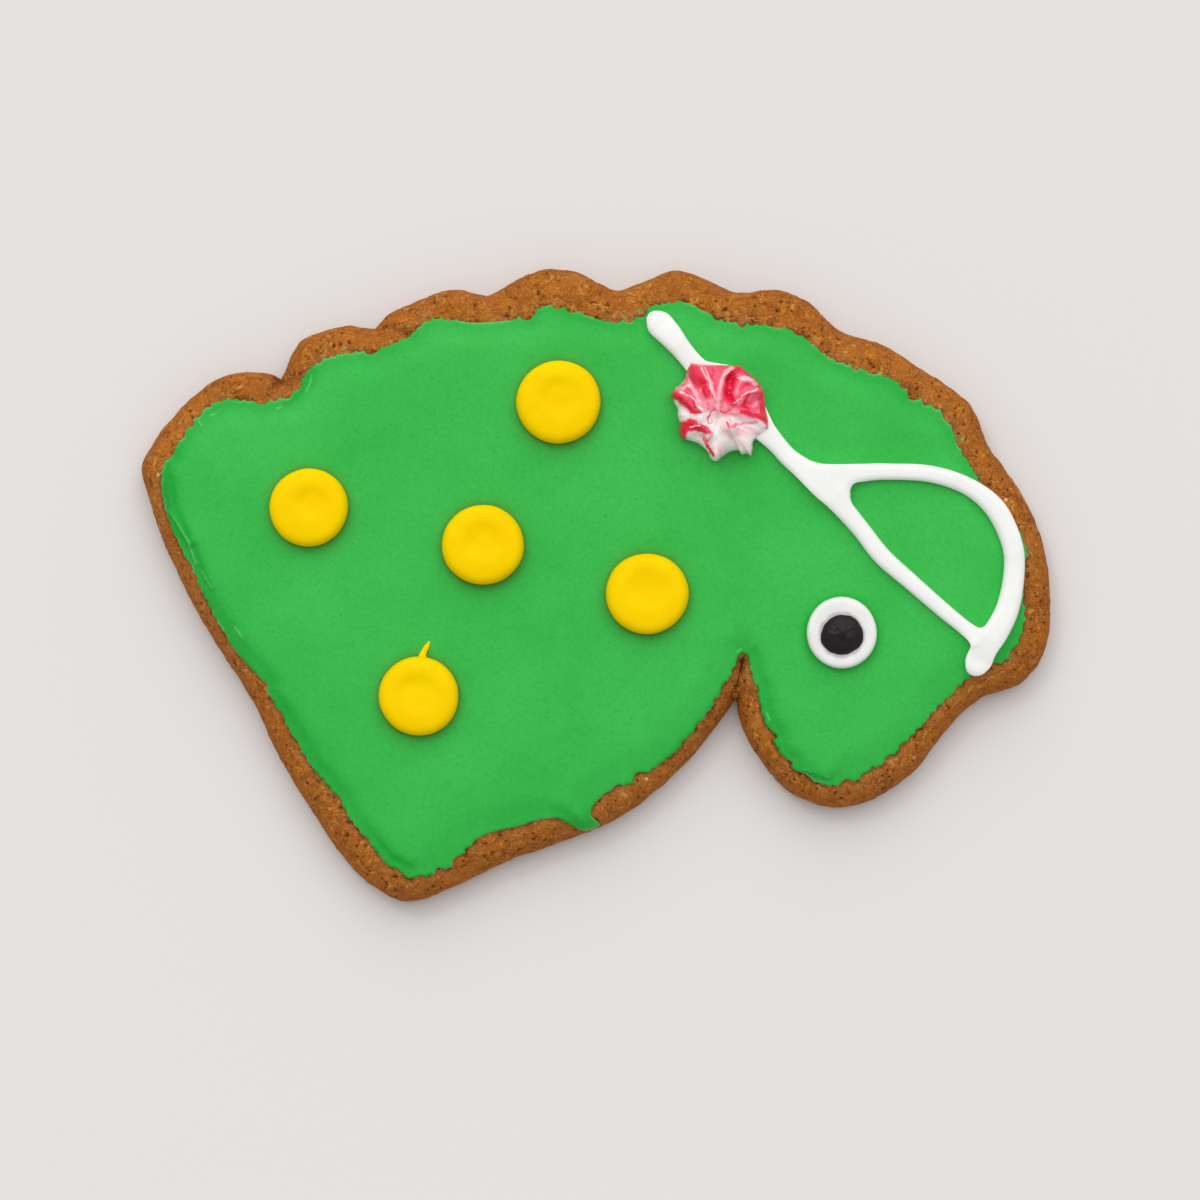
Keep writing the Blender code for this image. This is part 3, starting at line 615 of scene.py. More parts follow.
def torn(loop):
    """The edge with the small bites where the sheet tore as it set: cusps point out between hollows."""
    chance = random.Random(5)
    travel = np.r_[0, np.cumsum(np.linalg.norm(np.diff(loop.points, axis=0), axis=1))]
    calm = np.ones(len(travel))
    for centre, reach in CALM_EDGES:
        away = away_from(loop.points, centre)
        calm = np.minimum(calm, smooth_step(0.6 * reach, 1.2 * reach, away))
    bite_in = np.zeros(len(travel))
    start = 0.0
    while start < travel[-1]:
        length = chance.choice(BITE_LENGTHS) * chance.uniform(0.8, 1.2)
        depth = length * chance.uniform(*BITE_DEPTHS)
        lean = chance.uniform(*BITE_LEANS)
        share = (travel - start) / length
        inside = (share >= 0) & (share < 1)
        bite_in[inside] = depth * np.sin(math.pi * share[inside] ** lean) ** 0.8
        start += length
    bite_in *= np.clip(0.95 + 0.9 * grain(loop.points, 6.0, 6, 1), 0.5, 1.3)
    for centre, length, depth in DEEP_TEARS:
        first = away_from(loop.points, centre).argmin()
        share = (travel - travel[first]) / length
        inside = (share >= 0) & (share < 1)
        bite_in[inside] = np.maximum(bite_in[inside], depth * (1 - share[inside]) ** 0.7)
    wander = WANDER * grain(loop.points, WANDER_SIZE, 3)
    inset = (bite_in - CUSP_REACH) * calm + wander * calm
    return Loop(loop.points + loop.inward * inset[:, None])


icing_edge = torn(Loop(smooth_loop(ICING_EDGE, ICING_STEP)))
calm_edge = Loop(smooth_loop(ICING_EDGE, CALM_STEP))
RUMP_INWARD = (0.85, 0.5)  # the way in from the rump's edge


def at_rump(places):
    """1 where the nearest edge of the icing is the rump's, 0 elsewhere."""
    inward = calm_edge.inward[nearest(calm_edge.tree, places)]
    return smooth_step(0.1, 0.8, inward @ np.array(RUMP_INWARD))


def swell(places, depth):
    """Share of its full thickness that the icing has reached: it rises steeply at the rump alone."""
    reach = GENTLE_SWELL - (GENTLE_SWELL - STEEP_SWELL) * at_rump(places)
    start = FLANGE_WIDTH * (1 + 0.6 * grain(places, 5.0, 24, 1))
    return smooth_step(0, 1, np.clip(depth - start, 0, None) / reach)


# Folds that the knife left, each steep on its right: path, height and width on its left side.
FOLDS = [
    ([(-55.7, 15.8), (-56.2, 14.0), (-56.2, 11.9), (-55.8, 9.7)], 0.16, 0.6),
    ([(-56.2, 9.9), (-54.7, 7.7), (-53.6, 5.9), (-53.2, 4.9)], 0.55, 2.2),
    ([(-53.7, 5.9), (-52.9, 3.9), (-52.6, 2.4)], 0.35, 1.2),
    ([(-51.9, 1.9), (-50.9, 0.3), (-50.3, -0.7)], 0.22, 1.0),
    ([(26.9, -24.2), (28.6, -24.9), (30.9, -25.4)], 0.35, 1.2),
]
STEEP_SIDE = 0.14
VALLEY = 0.5  # depth of the valley on a fold's right, in heights of the fold
# The painted highlight on a fold's crest is this wide.
CREST = 0.22  # width of the pale crest of a fold
# Small ridges that the knife raised, each with a painted highlight.
MARKS = [
    [(-49.7, -4.6), (-48.7, -6.3)], [(-47.6, -5.2), (-46.3, -7.1)], [(-50.9, 22.1), (-49.9, 22.6)],
    [(-37.3, 27.9), (-37.5, 26.6), (-38.3, 25.1)], [(-39.7, 26.4), (-40.6, 24.0)],
    [(-42.0, 23.1), (-41.1, 23.5)], [(-52.3, 21.7), (-51.7, 20.8)], [(22.3, -16.6), (22.9, -17.9)],
    [(18.4, -8.9), (18.8, -8.5), (19.3, -8.4)],
]
MARK_HALF_WIDTH, MARK_RISE = 0.22, 0.1


def fold_profile(places, path, gentle_side):
    """The share of a fold's height at each place, and the share of the painted highlight on its crest."""
    away, along = distance_to_path(places, path)
    start, end = np.array(path[0]), np.array(path[-1])
    heading, offset = end - start, places - start
    on_left = heading[0] * offset[:, 1] - heading[1] * offset[:, 0] > 0
    ends = taper(along, 6) ** 0.5
    valley_end = STEEP_SIDE + 0.3 + 0.6 * gentle_side
    cliff = 1 - (1 + VALLEY) * np.clip(away / STEEP_SIDE, 0, 1)
    valley = cliff + VALLEY * smooth_step(STEEP_SIDE, valley_end, away)
    height = np.where(on_left, cone(away, gentle_side), valley)
    return ends * height, ends * on_left * cone(away, CREST)


def mark_profile(places):
    """How much of a knife mark lies at each place."""
    share = np.zeros(len(places))
    for path in MARKS:
        away, along = distance_to_path(places, path)
        share = np.maximum(share, taper(along, 5) * cone(away, MARK_HALF_WIDTH))
    return share


def icing_height(places):
    """Height of the icing's upper face over the biscuit."""
    depth = np.maximum(icing_edge.depth(places), 0)
    lip = np.sqrt(1 - cone(depth, LIP_WIDTH) ** 2)
    thickness = LIP_HEIGHT * lip
    thickness += (ICING_THICKNESS - LIP_HEIGHT) * swell(places, depth)
    waves = sum(rise * grain(places, size, seed) for rise, size, seed in WAVES)
    thickness += smooth_step(0.3, 2.5, depth) * waves
    for path, rise, gentle_side in FOLDS:
        thickness += rise * fold_profile(places, path, gentle_side)[0]
    thickness += MARK_RISE * mark_profile(places)
    return biscuit_height(places) + np.maximum(thickness, 0.6 * LIP_HEIGHT * lip)


BESIDE_STEP = 0.15


def beside(path, distances):
    """Places along the path, and at these distances to both sides of it."""
    rows = smooth_path(path, BESIDE_STEP)
    along = np.gradient(rows, axis=0)
    side = np.column_stack([-along[:, 1], along[:, 0]]) / np.linalg.norm(along, axis=1)[:, None]
    return np.vstack([rows + side * distance for distance in distances])


UNDERCUT = 0.16  # how far the edge overhangs the biscuit
# The painted ring round each drop: round a spot, yellow dye that bled in with painted shade and painted
# yellow bounce light; round the eye, a painted shadow.
HALO_REACH = 0.45  # how far the ring round a drop reaches
# Painted shade where the sheet slopes down near its edge: path and half width.
SHADED_SLOPES = [
    ([(-55.5, 17.2), (-55.6, 14.2), (-55.2, 10.6), (-53.7, 7.4), (-52.4, 4.2), (-50.7, -0.2),
      (-49.0, -3.4)], 0.6),
    ([(-36.6, 29.8), (-37.6, 27.2), (-39.4, 25.0), (-42.0, 23.7)], 1.0),
    ([(-29.4, -32.4), (-26.6, -35.6), (-23.2, -37.3)], 0.6),
]
# Insets of the rows of points along its edge, and distances of those beside its forms.
EDGE_ROWS = (0.09, 0.2, 0.36, 0.6, 0.9, 1.3, 1.8)
FOLD_ROWS = (-0.9, -0.5, -0.25, -0.14, 0, 0.1, 0.22, 0.45, 0.9)
MARK_ROWS = (-0.22, -0.1, 0, 0.1, 0.22)
DROP_ROWS, DROP_COLUMNS = (-0.3, 0.0, 0.2, 0.45, 0.8), 120
FINE_DEPTH = 0.3  # how far from the edge those rows end
FIELD_STEP, FIELD_DEPTH = 0.7, 2.0  # spacing of the coarse field, and how deep inside it starts
# How much of the painted highlight, the painted shade and the spots' yellow with its shade shows, and
# the widths of those along the edge.
HIGHLIGHT_EDGE, HIGHLIGHT_CREST, HIGHLIGHT_MARK, HIGHLIGHT_WIDTH = 0.5, 0.4, 0.45, 0.16
SHADE_EDGE, SHADE_RUMP, SHADE_SLOPE, SHADOW_AT_EYE = 0.35, 0.25, 0.75, 0.8
SHADE_WIDTH, SHADE_RUMP_WIDTH = 1.3, 0.7  # the rump's come on top of the edge's own
SHADE_AND_STAIN_AT_SPOT = 0.7


def sheet_places():
    """Inner places of the sheet: dense near its torn edge, its folds and the drops, and coarse elsewhere."""
    _, round_way = circle(DROP_COLUMNS)
    fine = [beside(path, FOLD_ROWS) for path, _, _ in FOLDS]
    fine += [beside(path, MARK_ROWS) for path in MARKS]
    fine += [
        np.array(middle) + (np.array(size) / 2 + away) * round_way
        for middle, size in DROPS
        for away in DROP_ROWS
    ]
    fine = np.vstack(fine)
    rings = [icing_edge.ring(inset) for inset in EDGE_ROWS]
    fine = fine[icing_edge.depth(fine) > FINE_DEPTH]
    return np.vstack([*rings, fine, icing_edge.grid(FIELD_STEP, FIELD_DEPTH)])


def stain_and_light_shares(places):
    """How far the sheet carries a painted highlight along its edge, on the folds' crests and on the knife
    marks;
    painted shade along its edge, deeper at the rump and on its slopes, with a painted shadow round the eye;
    and round each yellow spot its dye that bled in, with painted shade and painted yellow bounce light.
    """
    depth, rump = icing_edge.depth(places), at_rump(places)
    # Painted highlight along the torn edge, on the folds' crests and on the knife marks.
    painted_highlight = HIGHLIGHT_EDGE * hump(depth, HIGHLIGHT_WIDTH) * smooth_step(-0.3, 0.4, grain(places, 2.5, 25))
    for path, _, gentle_side in FOLDS:
        painted_highlight = np.maximum(painted_highlight, HIGHLIGHT_CREST * fold_profile(places, path, gentle_side)[1])
    painted_highlight = np.maximum(painted_highlight, HIGHLIGHT_MARK * mark_profile(places))
    # Painted shade along the edge, deeper at the rump, and on the sloping stretches.
    painted_shade = SHADE_EDGE + SHADE_RUMP * rump
    painted_shade *= hump(np.maximum(depth, 0), SHADE_WIDTH + SHADE_RUMP_WIDTH * rump)
    painted_shade *= 1 + 0.4 * grain(places, 6.0, 26)
    for path, half_width in SHADED_SLOPES:
        away, along = distance_to_path(places, path)
        painted_shade = np.maximum(painted_shade, SHADE_SLOPE * taper(along, 6) * hump(away, half_width))
    # Round each spot, its yellow dye with painted shade; round the eye, a painted shadow.
    stain_and_shade = np.zeros(len(places))
    for number, (middle, size) in enumerate(DROPS):
        halo = np.exp(-np.maximum(away_from(places, middle) - size[0] / 2, 0) / HALO_REACH)
        if number < len(SPOTS):
            stain_and_shade = np.maximum(stain_and_shade, SHADE_AND_STAIN_AT_SPOT * halo)
        else:
            painted_shade = np.maximum(painted_shade, SHADOW_AT_EYE * halo)
    return {"painted_highlight": painted_highlight, "painted_shade": painted_shade, "stain_and_shade": stain_and_shade}


def make_green_icing(material):
    """The sheet of icing: an upper and a lower face of the same places, joined round its edge."""
    places, triangles = triangulated(icing_edge.points, sheet_places())
    count, rim = len(places), len(icing_edge.points)
    under_places = places.copy()
    under_places[:rim] += icing_edge.inward * UNDERCUT
    top = np.column_stack([places, icing_height(places)])
    top[:rim, 2] += LIP_RISE
    under = np.column_stack([under_places, biscuit_height(under_places) - SUNK])
    faces = [*triangles, *(triangles[:, ::-1] + count), *strip_faces(0, count, rim)]
    piece = finish_mesh("green_icing_sheet", np.vstack([top, under]), faces, material)
    for name, values in stain_and_light_shares(places).items():
        paint(piece, name, np.clip(np.r_[values, values], 0, 1))
    set_in_frame(piece, "green_icing")


# ---------------------------------------------------------------- crumb of the biscuit


# The mesh of the upper face: where the fine part starts inside the biscuit's edge and ends inside the
# icing's, rows along the biscuit's edge, and the coarse part's spacing and where it starts.
CRUMB_START, CRUMB_END, RIM_ROWS = 0.14, 0.9, (0.03, 0.08)
COVERED_STEP, COVERED_START = 2.5, 1.2
UNDER_STEP, UNDER_START = 1.5, 2.0  # the same for the coarse mesh of the underside
PORE_COUNT = 620
PORE_RADII = (0.1, 0.24)  # least and most
PORE_LENGTH = 0.16  # how far at most the two pits of a pore lie from its middle
PORE_DEPTH = 0.32
FLAKE_LONG, FLAKE_WIDE = 1.9, 0.7
FLAKE_RISE = 0.13
LUMPS = [(0.13, 3.2, 31), (0.08, 1.1, 32)]  # uneven rise of the crumb: height, size and seed
# The hairline crack at the throat: its line, half width and depth.
CRACK = [(19.37, -9.5), (19.1, -10.9), (18.75, -12.3), (18.4, -13.7)]
CRACK_HALF_WIDTH, CRACK_DEPTH = 0.11, 0.7
CRACK_ROWS = (-0.18, -0.09, 0, 0.09, 0.18)
BALL_RINGS, BALL_COLUMNS = (0.25, 0.5, 0.7, 0.85, 0.96, 1.04), 20
# How dark the painted shade in each hollow is, and how much of the darker outer edge's and the sugar
# bloom's colour shows.
DARK_PORE, DARK_CRACK, DARK_BITE, DARK_AT_BALL, DARK_SEAM, DARKEST = 1.3, 2.0, 0.7, 0.8, 0.85, 0.9
EDGE_DARKENING, BLOOM, BLOOM_REACH = 0.2, 0.35, 0.9
# Film that the knife left on the bare crumb: middle, reach and how much of it took.
SMEARS = [
    ((4.1, 35.5), 1.0, 0.45), ((5.6, 36.0), 0.7, 0.45), ((-3.0, 35.9), 0.5, 0.45),
    ((-33.0, 31.2), 0.5, 0.45), ((48.2, 19.15), 0.28, 9.0), ((48.3, 19.6), 0.14, 9.0),
]


def crumb_places():
    """Inner places of the upper face: dense where the crumb shows, and coarse under the icing."""
    band = biscuit_edge.grid(CRUMB_STEP, CRUMB_START)
    band = band[icing_edge.depth(band) < CRUMB_END]
    covered = icing_edge.grid(COVERED_STEP, COVERED_START)
    rings = [biscuit_edge.ring(inset) for inset in RIM_ROWS]
    _, round_way = circle(BALL_COLUMNS)
    ball = [np.array(DOUGH_BALL) + BALL_RADIUS * share * round_way for share in BALL_RINGS]
    ball = np.vstack(ball)
    ball = ball[biscuit_edge.depth(ball) > 0.1]
    return np.vstack([*rings, beside(CRACK, CRACK_ROWS), ball, band, covered])


def make_biscuit(material):
    """The biscuit with its broken crumb and pores, and its flat, plain underside."""
    places, top_faces = triangulated(biscuit_edge.points, crumb_places())
    top = np.column_stack([places, biscuit_height(places)])
    rim = len(biscuit_edge.points)
    rows = [
        np.column_stack([biscuit_edge.points + biscuit_edge.inward * inset, np.full(rim, z)])
        for z, inset in WALL
    ]
    starts = [0] + [len(top) + rim * number for number in range(len(WALL))]
    faces = list(top_faces)
    for upper, lower in zip(starts, starts[1:]):
        faces += list(strip_faces(upper, lower, rim))
    foot = rows[-1][:, :2]
    under_places, under_faces = triangulated(foot, biscuit_edge.grid(UNDER_STEP, UNDER_START))
    under = np.column_stack([under_places[rim:], np.zeros(len(under_places) - rim)])
    numbers = starts[-1] + np.arange(len(under_places))
    faces += list(numbers[under_faces][:, ::-1])
    piece = finish_mesh("gingerbread_biscuit", np.vstack([top, *rows, under]), faces, material)
    break_crumb(piece)
    set_in_frame(piece, "biscuit")


def flake_rise(points):
    """How high each point stands on its flake of crumb, from 0 in a crease to 1."""
    curled = points + shaken(points, 1.1, 2.2, (43, 44, 45), 2)
    sizes = (
        np.array((FLAKE_LONG, FLAKE_WIDE, FLAKE_WIDE)),
        np.array((FLAKE_WIDE, FLAKE_LONG, FLAKE_WIDE)),
    )
    turned_way = grain(points, 1.8, 46, 1) > 0
    rise = np.zeros(len(points))
    for number, (place, way) in enumerate(zip(curled, turned_way)):
        near, _ = noise.voronoi(Vector(place / sizes[int(way)]))
        rise[number] = min(1, 2.5 * (near[1] - near[0]))
    return rise


def pore_shares(points, showing):
    """How deep each point lies in a pore, 0 to 1. A pore is two pits side by side, about a showing point."""
    chance = random.Random(23)
    centres, radii = [], []
    for index in chance.sample(list(showing), PORE_COUNT):
        radius = chance.uniform(*PORE_RADII)
        heading = chance.uniform(0, math.pi)
        side = PORE_LENGTH * chance.random() * np.array((math.cos(heading), math.sin(heading), 0))
        centres += [points[index] - side, points[index] + side]
        radii += [radius, radius]
    tree = point_tree(centres)
    pit_and_shade = np.zeros(len(points))
    for number, place in enumerate(points + shaken(points, 0.16, 0.5, (40, 41, 42), 2)):
        for _, index, away in tree.find_n(place, 2):
            pit_and_shade[number] = max(pit_and_shade[number], 1 - (away / radii[index]) ** 2)
    return pit_and_shade


def break_crumb(piece):
    """Moves the bare surface in and out into crumbs and pores, and paints its colours and the painted shade
    in its hollows.
    """
    points = points_of(piece)
    normals = vectors_of(piece.data.vertex_normals, "vector")
    edge_depth = biscuit_edge.depth(points[:, :2])
    cover = icing_edge.depth(points[:, :2])
    bare = smooth_step(0.05, 0.6, points[:, 2]) * (1 - smooth_step(0.2, 0.8, cover))
    pit_and_shade = bare * pore_shares(points, np.flatnonzero(bare > 0.9))
    crumb = sum(rise * grain(points, size, seed) for rise, size, seed in LUMPS)
    crumb += FLAKE_RISE * (flake_rise(points) - 0.6) * smooth_step(-0.3, 1.2, edge_depth)
    away, along = distance_to_path(points[:, :2], CRACK)
    upper = points[:, 2] > WIDEST_LINE
    crack = cone(away, CRACK_HALF_WIDTH * (1.2 - 0.7 * along)) * upper
    moved = points + normals * (bare * crumb - PORE_DEPTH * pit_and_shade)[:, None]
    moved[:, 2] -= CRACK_DEPTH * crack
    moved[:, 2] = np.maximum(moved[:, 2], 0)
    move_points(piece, moved)
    # Painted shade: the pores, the crack, the shadow under the icing's torn edge, the ring round the dough
    # ball and the crease where the back's humps meet are darkened.
    in_bites = hump(cover + 0.12, 0.22) * smooth_step(-0.1, 0.3, grain(points, 1.1, 38))
    beside_ball = hump(away_from(points, DOUGH_BALL) - 1.1 * BALL_RADIUS, 0.12) * upper
    away, along = distance_to_path(points[:, :2], BACK_SEAM)
    crease_shade = hump(along - 0.5, 0.3) * hump(away, 0.3)
    hollows = (DARK_PORE * pit_and_shade, DARK_CRACK * crack, DARK_BITE * in_bites)
    hollows += (DARK_AT_BALL * beside_ball, DARK_SEAM * crease_shade)
    paint(piece, "pit_and_shade", np.clip(np.maximum.reduce(hollows), 0, DARKEST))
    # Darker towards the outer edge.
    wander = 0.5 * grain(points, 4.0, 35)
    paint(piece, "darker_outer_edge", EDGE_DARKENING * (1 - smooth_step(0.1, 1.6, edge_depth + wander)))
    bloom = np.exp(cover / BLOOM_REACH) * (cover < 0) + (cover >= 0)
    paint(piece, "bloom", BLOOM * bloom * smooth_step(-0.5, 0.5, grain(points, 5.0, 36) + 0.15))
    smear = np.zeros(len(points))
    for middle, reach, amount in SMEARS:
        faded = 1 - smooth_step(0.5, 1.1, away_from(points, middle) / reach)
        smear = np.maximum(smear, amount * faded)
    patchy = smooth_step(-0.1, 0.5, grain(points, 0.7, 37)) + 0.1
    paint(piece, "smear", np.clip(smear * patchy, 0, 0.9))


# ---------------------------------------------------------------- piped icing

SPOT_HEIGHT = 2.8
TURNS, PROFILE_STEP = 128, 0.03  # points round a drop, and their spacing down its profile
LOBES = (2, 3, 5, 8, 13)  # how many times each of its unevennesses comes round
# Half profile of a drop that settled: share of the radius and of the height, from the top down.
SPOT_PROFILE = [
    (0.0, 1.0), (0.4, 0.995), (0.7, 0.97), (0.86, 0.9), (0.945, 0.77), (0.985, 0.62), (1.0, 0.46),
    (0.985, 0.25), (0.93, 0.1), (0.87, 0.0),
]
DIMPLE_DEPTH = 0.36
SPOT_VOXEL = 0.1
# The drawn-out tail of the last spot: points of its middle line with the half width there.
SPOT_TAIL = [
    (-23.0, -11.2, 1.6), (-22.85, -10.0, 1.0), (-22.75, -9.4, 0.6), (-22.6, -8.8, 0.42),
    (-22.2, -8.1, 0.38), (-21.85, -7.4, 0.16),
]


def turned(profile, middle, size, base, height, seed, wobble=0.012):
    """A drop turned about the vertical: points ring by ring from the top down, and its faces."""
    rows = smooth_path(profile, PROFILE_STEP)[1:]
    angles, round_way = circle(TURNS)
    chance = random.Random(seed)
    waves = [np.sin(number * angles + chance.uniform(0, 6.3)) / number for number in LOBES]
    radius = 1 + wobble * sum(waves)
    points = [np.array([[middle[0], middle[1], base + profile[0][1] * height]])]
    for share, level in rows:
        ring = np.array(middle) + np.array(size) / 2 * share * radius[:, None] * round_way
        points.append(np.column_stack([ring, np.full(TURNS, base + level * height)]))
    return np.vstack(points), cap_faces(TURNS, len(rows))


def floor_under(places):
    """Height of what piped icing lies on: the green icing, or the bare biscuit past its edge."""
    covered = icing_edge.depth(places) > 0
    return np.where(covered, icing_height(places), biscuit_height(places))


def floor_at(middle):
    return float(floor_under(np.array([middle]))[0])


def make_spots(material):
    for number, (middle, size, dimple, reach) in enumerate(SPOTS, start=1):
        base = floor_at(middle) - SUNK
        points, faces = turned(SPOT_PROFILE, middle, size, base, SPOT_HEIGHT + SUNK, number)
        shares = (points[:, :2] - np.array(middle)) / (np.array(size) / 2)
        on_top = smooth_step(0.4, 0.8, (points[:, 2] - base) / SPOT_HEIGHT)
        uneven = 1 + 0.35 * grain(points, 4.0, 50 + number)
        points[:, 2] -= DIMPLE_DEPTH * hump(away_from(shares, dimple), reach, 4) * on_top * uneven
        points[:, 2] += 0.05 * grain(points[:, :2], 5.0, 60 + number) * on_top
        piece = finish_mesh(f"yellow_spot_{number}", points, faces, material)
        if number == len(SPOTS):
            join_meshes(piece, [bead_tube(SPOT_TAIL)], SPOT_VOXEL, 4)
        set_in_frame(piece, f"spot_{number}")


BEAD_LIFT = 0.45  # how far a bead's middle line stands above its floor, in half widths
LIFTED_WIDTH = 1.4  # half width from which a bead is lifted no further
BEAD_STEP = 0.3
ROUND_END = (0.2, 0.4, 0.6, 0.75, 0.87, 0.95, 0.99)  # places along a bead's round end, in its radius


def bead_tube(stations):
    """A piped bead as a tube with round ends, lying with its lower part in what it rests on."""
    rows = smooth_path(stations, BEAD_STEP)
    first_end, last_end = [], []
    for round_end, end, other in ((first_end, rows[0], rows[1]), (last_end, rows[-1], rows[-2])):
        way = (end - other)[:2] / np.linalg.norm((end - other)[:2])
        for ahead in ROUND_END:
            half_width = end[2] * math.sqrt(1 - ahead**2)
            round_end.append((*(end[:2] + way * end[2] * ahead), half_width))
    rows = np.array([*reversed(first_end), *rows, *last_end])
    heights = floor_under(rows[:, :2]) + BEAD_LIFT * np.minimum(rows[:, 2], LIFTED_WIDTH)
    curve = bpy.data.curves.new("bead", "CURVE")
    curve.dimensions = "3D"
    curve.bevel_depth = MM
    curve.bevel_resolution = 6
    curve.use_fill_caps = True
    spline = curve.splines.new("POLY")
    spline.points.add(len(rows) - 1)
    for point, (x, y, half_width), z in zip(spline.points, rows, heights):
        point.co = (x * MM, y * MM, z * MM, 1)
        point.radius = half_width
    holder = add_object("bead", curve)
    mesh = evaluated(holder)
    bpy.data.objects.remove(holder)
    return mesh


def reskin(piece, voxel, smoothings):
    """Gives the piece one even skin, and softens its creases."""
    remesh = piece.modifiers.new("Skin", "REMESH")
    remesh.mode = "VOXEL"
    remesh.voxel_size = voxel * MM
    soften = piece.modifiers.new("Soften", "SMOOTH")
    soften.factor = 0.5
    soften.iterations = smoothings
    skin = evaluated(piece)
    piece.modifiers.clear()
    piece.data = skin
    skin.shade_smooth()


def join_meshes(piece, meshes, voxel, smoothings):
    """Joins the meshes into the piece as one skin, and softens the creases where they meet."""
    edit = bmesh.new()
    for mesh in (piece.data, *meshes):
        edit.from_mesh(mesh)
    bmesh.ops.remove_doubles(edit, verts=edit.verts, dist=0.001 * MM)
    edit.to_mesh(piece.data)
    edit.free()
    reskin(piece, voxel, smoothings)


# White piping: points of its middle line with the half width there.
BAND = [
    (8.45, 34.15, 1.8), (9.7, 32.8, 1.65), (11.5, 30.6, 1.35), (13.4, 28.4, 1.4), (16.5, 25.6, 1.9),
    (19.9, 22.4, 1.9), (23.3, 18.9, 1.3), (25.2, 16.8, 1.25), (27.3, 15.1, 1.45), (29.7, 12.95, 1.65),
    (31.75, 10.8, 1.38), (34.7, 7.35, 1.2), (37.5, 3.8, 1.22), (41.2, 0.5, 1.12), (45.2, -3.0, 1.05),
    (48.0, -5.3, 1.0), (49.75, -6.75, 1.15), (50.6, -8.1, 1.55), (50.0, -10.0, 1.62),
]
LOOP = [
    (28.8, 14.4, 1.4), (31.7, 14.5, 1.38), (34.8, 14.75, 1.22), (38.0, 14.9, 1.12), (43.8, 14.6, 1.14),
    (48.9, 12.9, 1.2), (52.5, 9.9, 1.42), (54.6, 5.3, 1.4), (54.8, 1.3, 1.42),
    (54.0, -2.9, 1.55), (52.5, -6.0, 1.65), (51.0, -8.1, 1.7), (50.3, -9.8, 1.7),
]
# The web of icing that fills the fork between band and loop.
FORK = [(31.7, 14.2, 1.3), (31.55, 13.3, 1.3), (31.3, 12.4, 1.4)]
# What the rosette squeezed out of the line as it was set on it.
SQUEEZED = [
    (13.6, 28.6, 0.9), (15.4, 28.6, 0.65), (18.0, 28.0, 0.7), (20.0, 26.6, 0.6), (21.2, 24.6, 0.6),
    (21.8, 22.8, 0.7), (22.3, 20.9, 1.0),
]
LINE_BEADS = (BAND, LOOP, FORK, SQUEEZED)
LINE_HEIGHT = 1.25  # height of the white line, in half widths
WIDEST_ROUND = 1.45  # half width from which a bead only spreads and gets no higher
LINE_VOXEL = 0.16
BLEND = 1.2  # how sharply two beads keep their own form where they meet, per mm
# Where the icing ran together in the crotches between band and loop: place, and how far it drew in.
WEBS = [((33.2, 12.2), 0.5), ((29.3, 16.0), 0.3), ((50.8, -5.7), 0.25)]
WEB_REACH = 1.8
NO_WEB = 0.01  # how far the icing draws in away from the webs
ROUNDS, SHARE_OF_WAY = 8, 0.5  # the webs form step by step, each this share of the way that is left


def beads_near(points):
    """For each bead of the white line, row by row: how far each point lies outside it, the half width, the
    floor's height and the way out, at the bead's nearest point."""
    found = []
    for line in LINE_BEADS:
        rows = smooth_path(line, BEAD_STEP)
        floors = floor_under(rows[:, :2])
        row = nearest(point_tree(rows[:, :2]), points[:, :2])
        offset = points[:, :2] - rows[row, :2]
        away = np.linalg.norm(offset, axis=1)
        found.append((away - rows[row, 2], rows[row, 2], floors[row], offset / away[:, None]))
    return [np.array(values) for values in zip(*found)]


def run_together(points):
    """Moves points of the crotches outwards, so that the icing fills them with a round web."""
    level = beads_near(points)[0].min(axis=0)
    web = np.full(len(points), NO_WEB)
    for place, size in WEBS:
        web += size * hump(away_from(points, place), WEB_REACH, 4)
    for _ in range(ROUNDS):
        gaps, _, _, outwards = beads_near(points)
        near = 0.5 ** ((gaps - gaps.min(axis=0)) / web)
        total = near.sum(axis=0)
        blended = gaps.min(axis=0) - web * np.log2(total)
        way = (near[:, :, None] * outwards).sum(axis=0) / total[:, None]
        left = (level - blended) / np.maximum((way**2).sum(axis=1), 0.2)
        move = SHARE_OF_WAY * way * left[:, None]
        points = np.column_stack([points[:, :2] + move, points[:, 2]])
    return points


def settled(points):
    """The line's points once it has set: flat on top and steep at the sides, level across the line."""
    gaps, widths, floors, _ = beads_near(points)
    near = np.exp(-BLEND * gaps)
    total = near.sum(axis=0)
    width, floor = (near * widths).sum(axis=0) / total, (near * floors).sum(axis=0) / total
    share = np.clip(np.log(total) / BLEND / width, 0, 1)
    low, high = BEAD_LIFT * width, LINE_HEIGHT * np.minimum(width, WIDEST_ROUND)
    top = floor + low + (high - low) * np.sqrt(1 - (1 - share) ** 3)
    height = np.where(points[:, 2] > floor + low, top, points[:, 2])
    return np.column_stack([points[:, :2], height])


def make_white_line(material):
    piece = finish_mesh("white_piped_line", np.zeros((0, 3)), [], material)
    join_meshes(piece, [bead_tube(line) for line in LINE_BEADS], LINE_VOXEL, 8)
    move_points(piece, run_together(points_of(piece)))
    reskin(piece, LINE_VOXEL, 12)
    move_points(piece, settled(points_of(piece)))
    set_in_frame(piece, "white_line")


# Half profiles of the eye's disc, which is a little hollow, and of its pupil, as that of the spots.
EYE_PROFILE = [
    (0.0, 0.93), (0.50, 0.94), (0.62, 0.97), (0.8, 0.985), (0.9, 0.95), (0.96, 0.85), (0.99, 0.66),
    (1.0, 0.45), (0.985, 0.2), (0.93, 0.0),
]
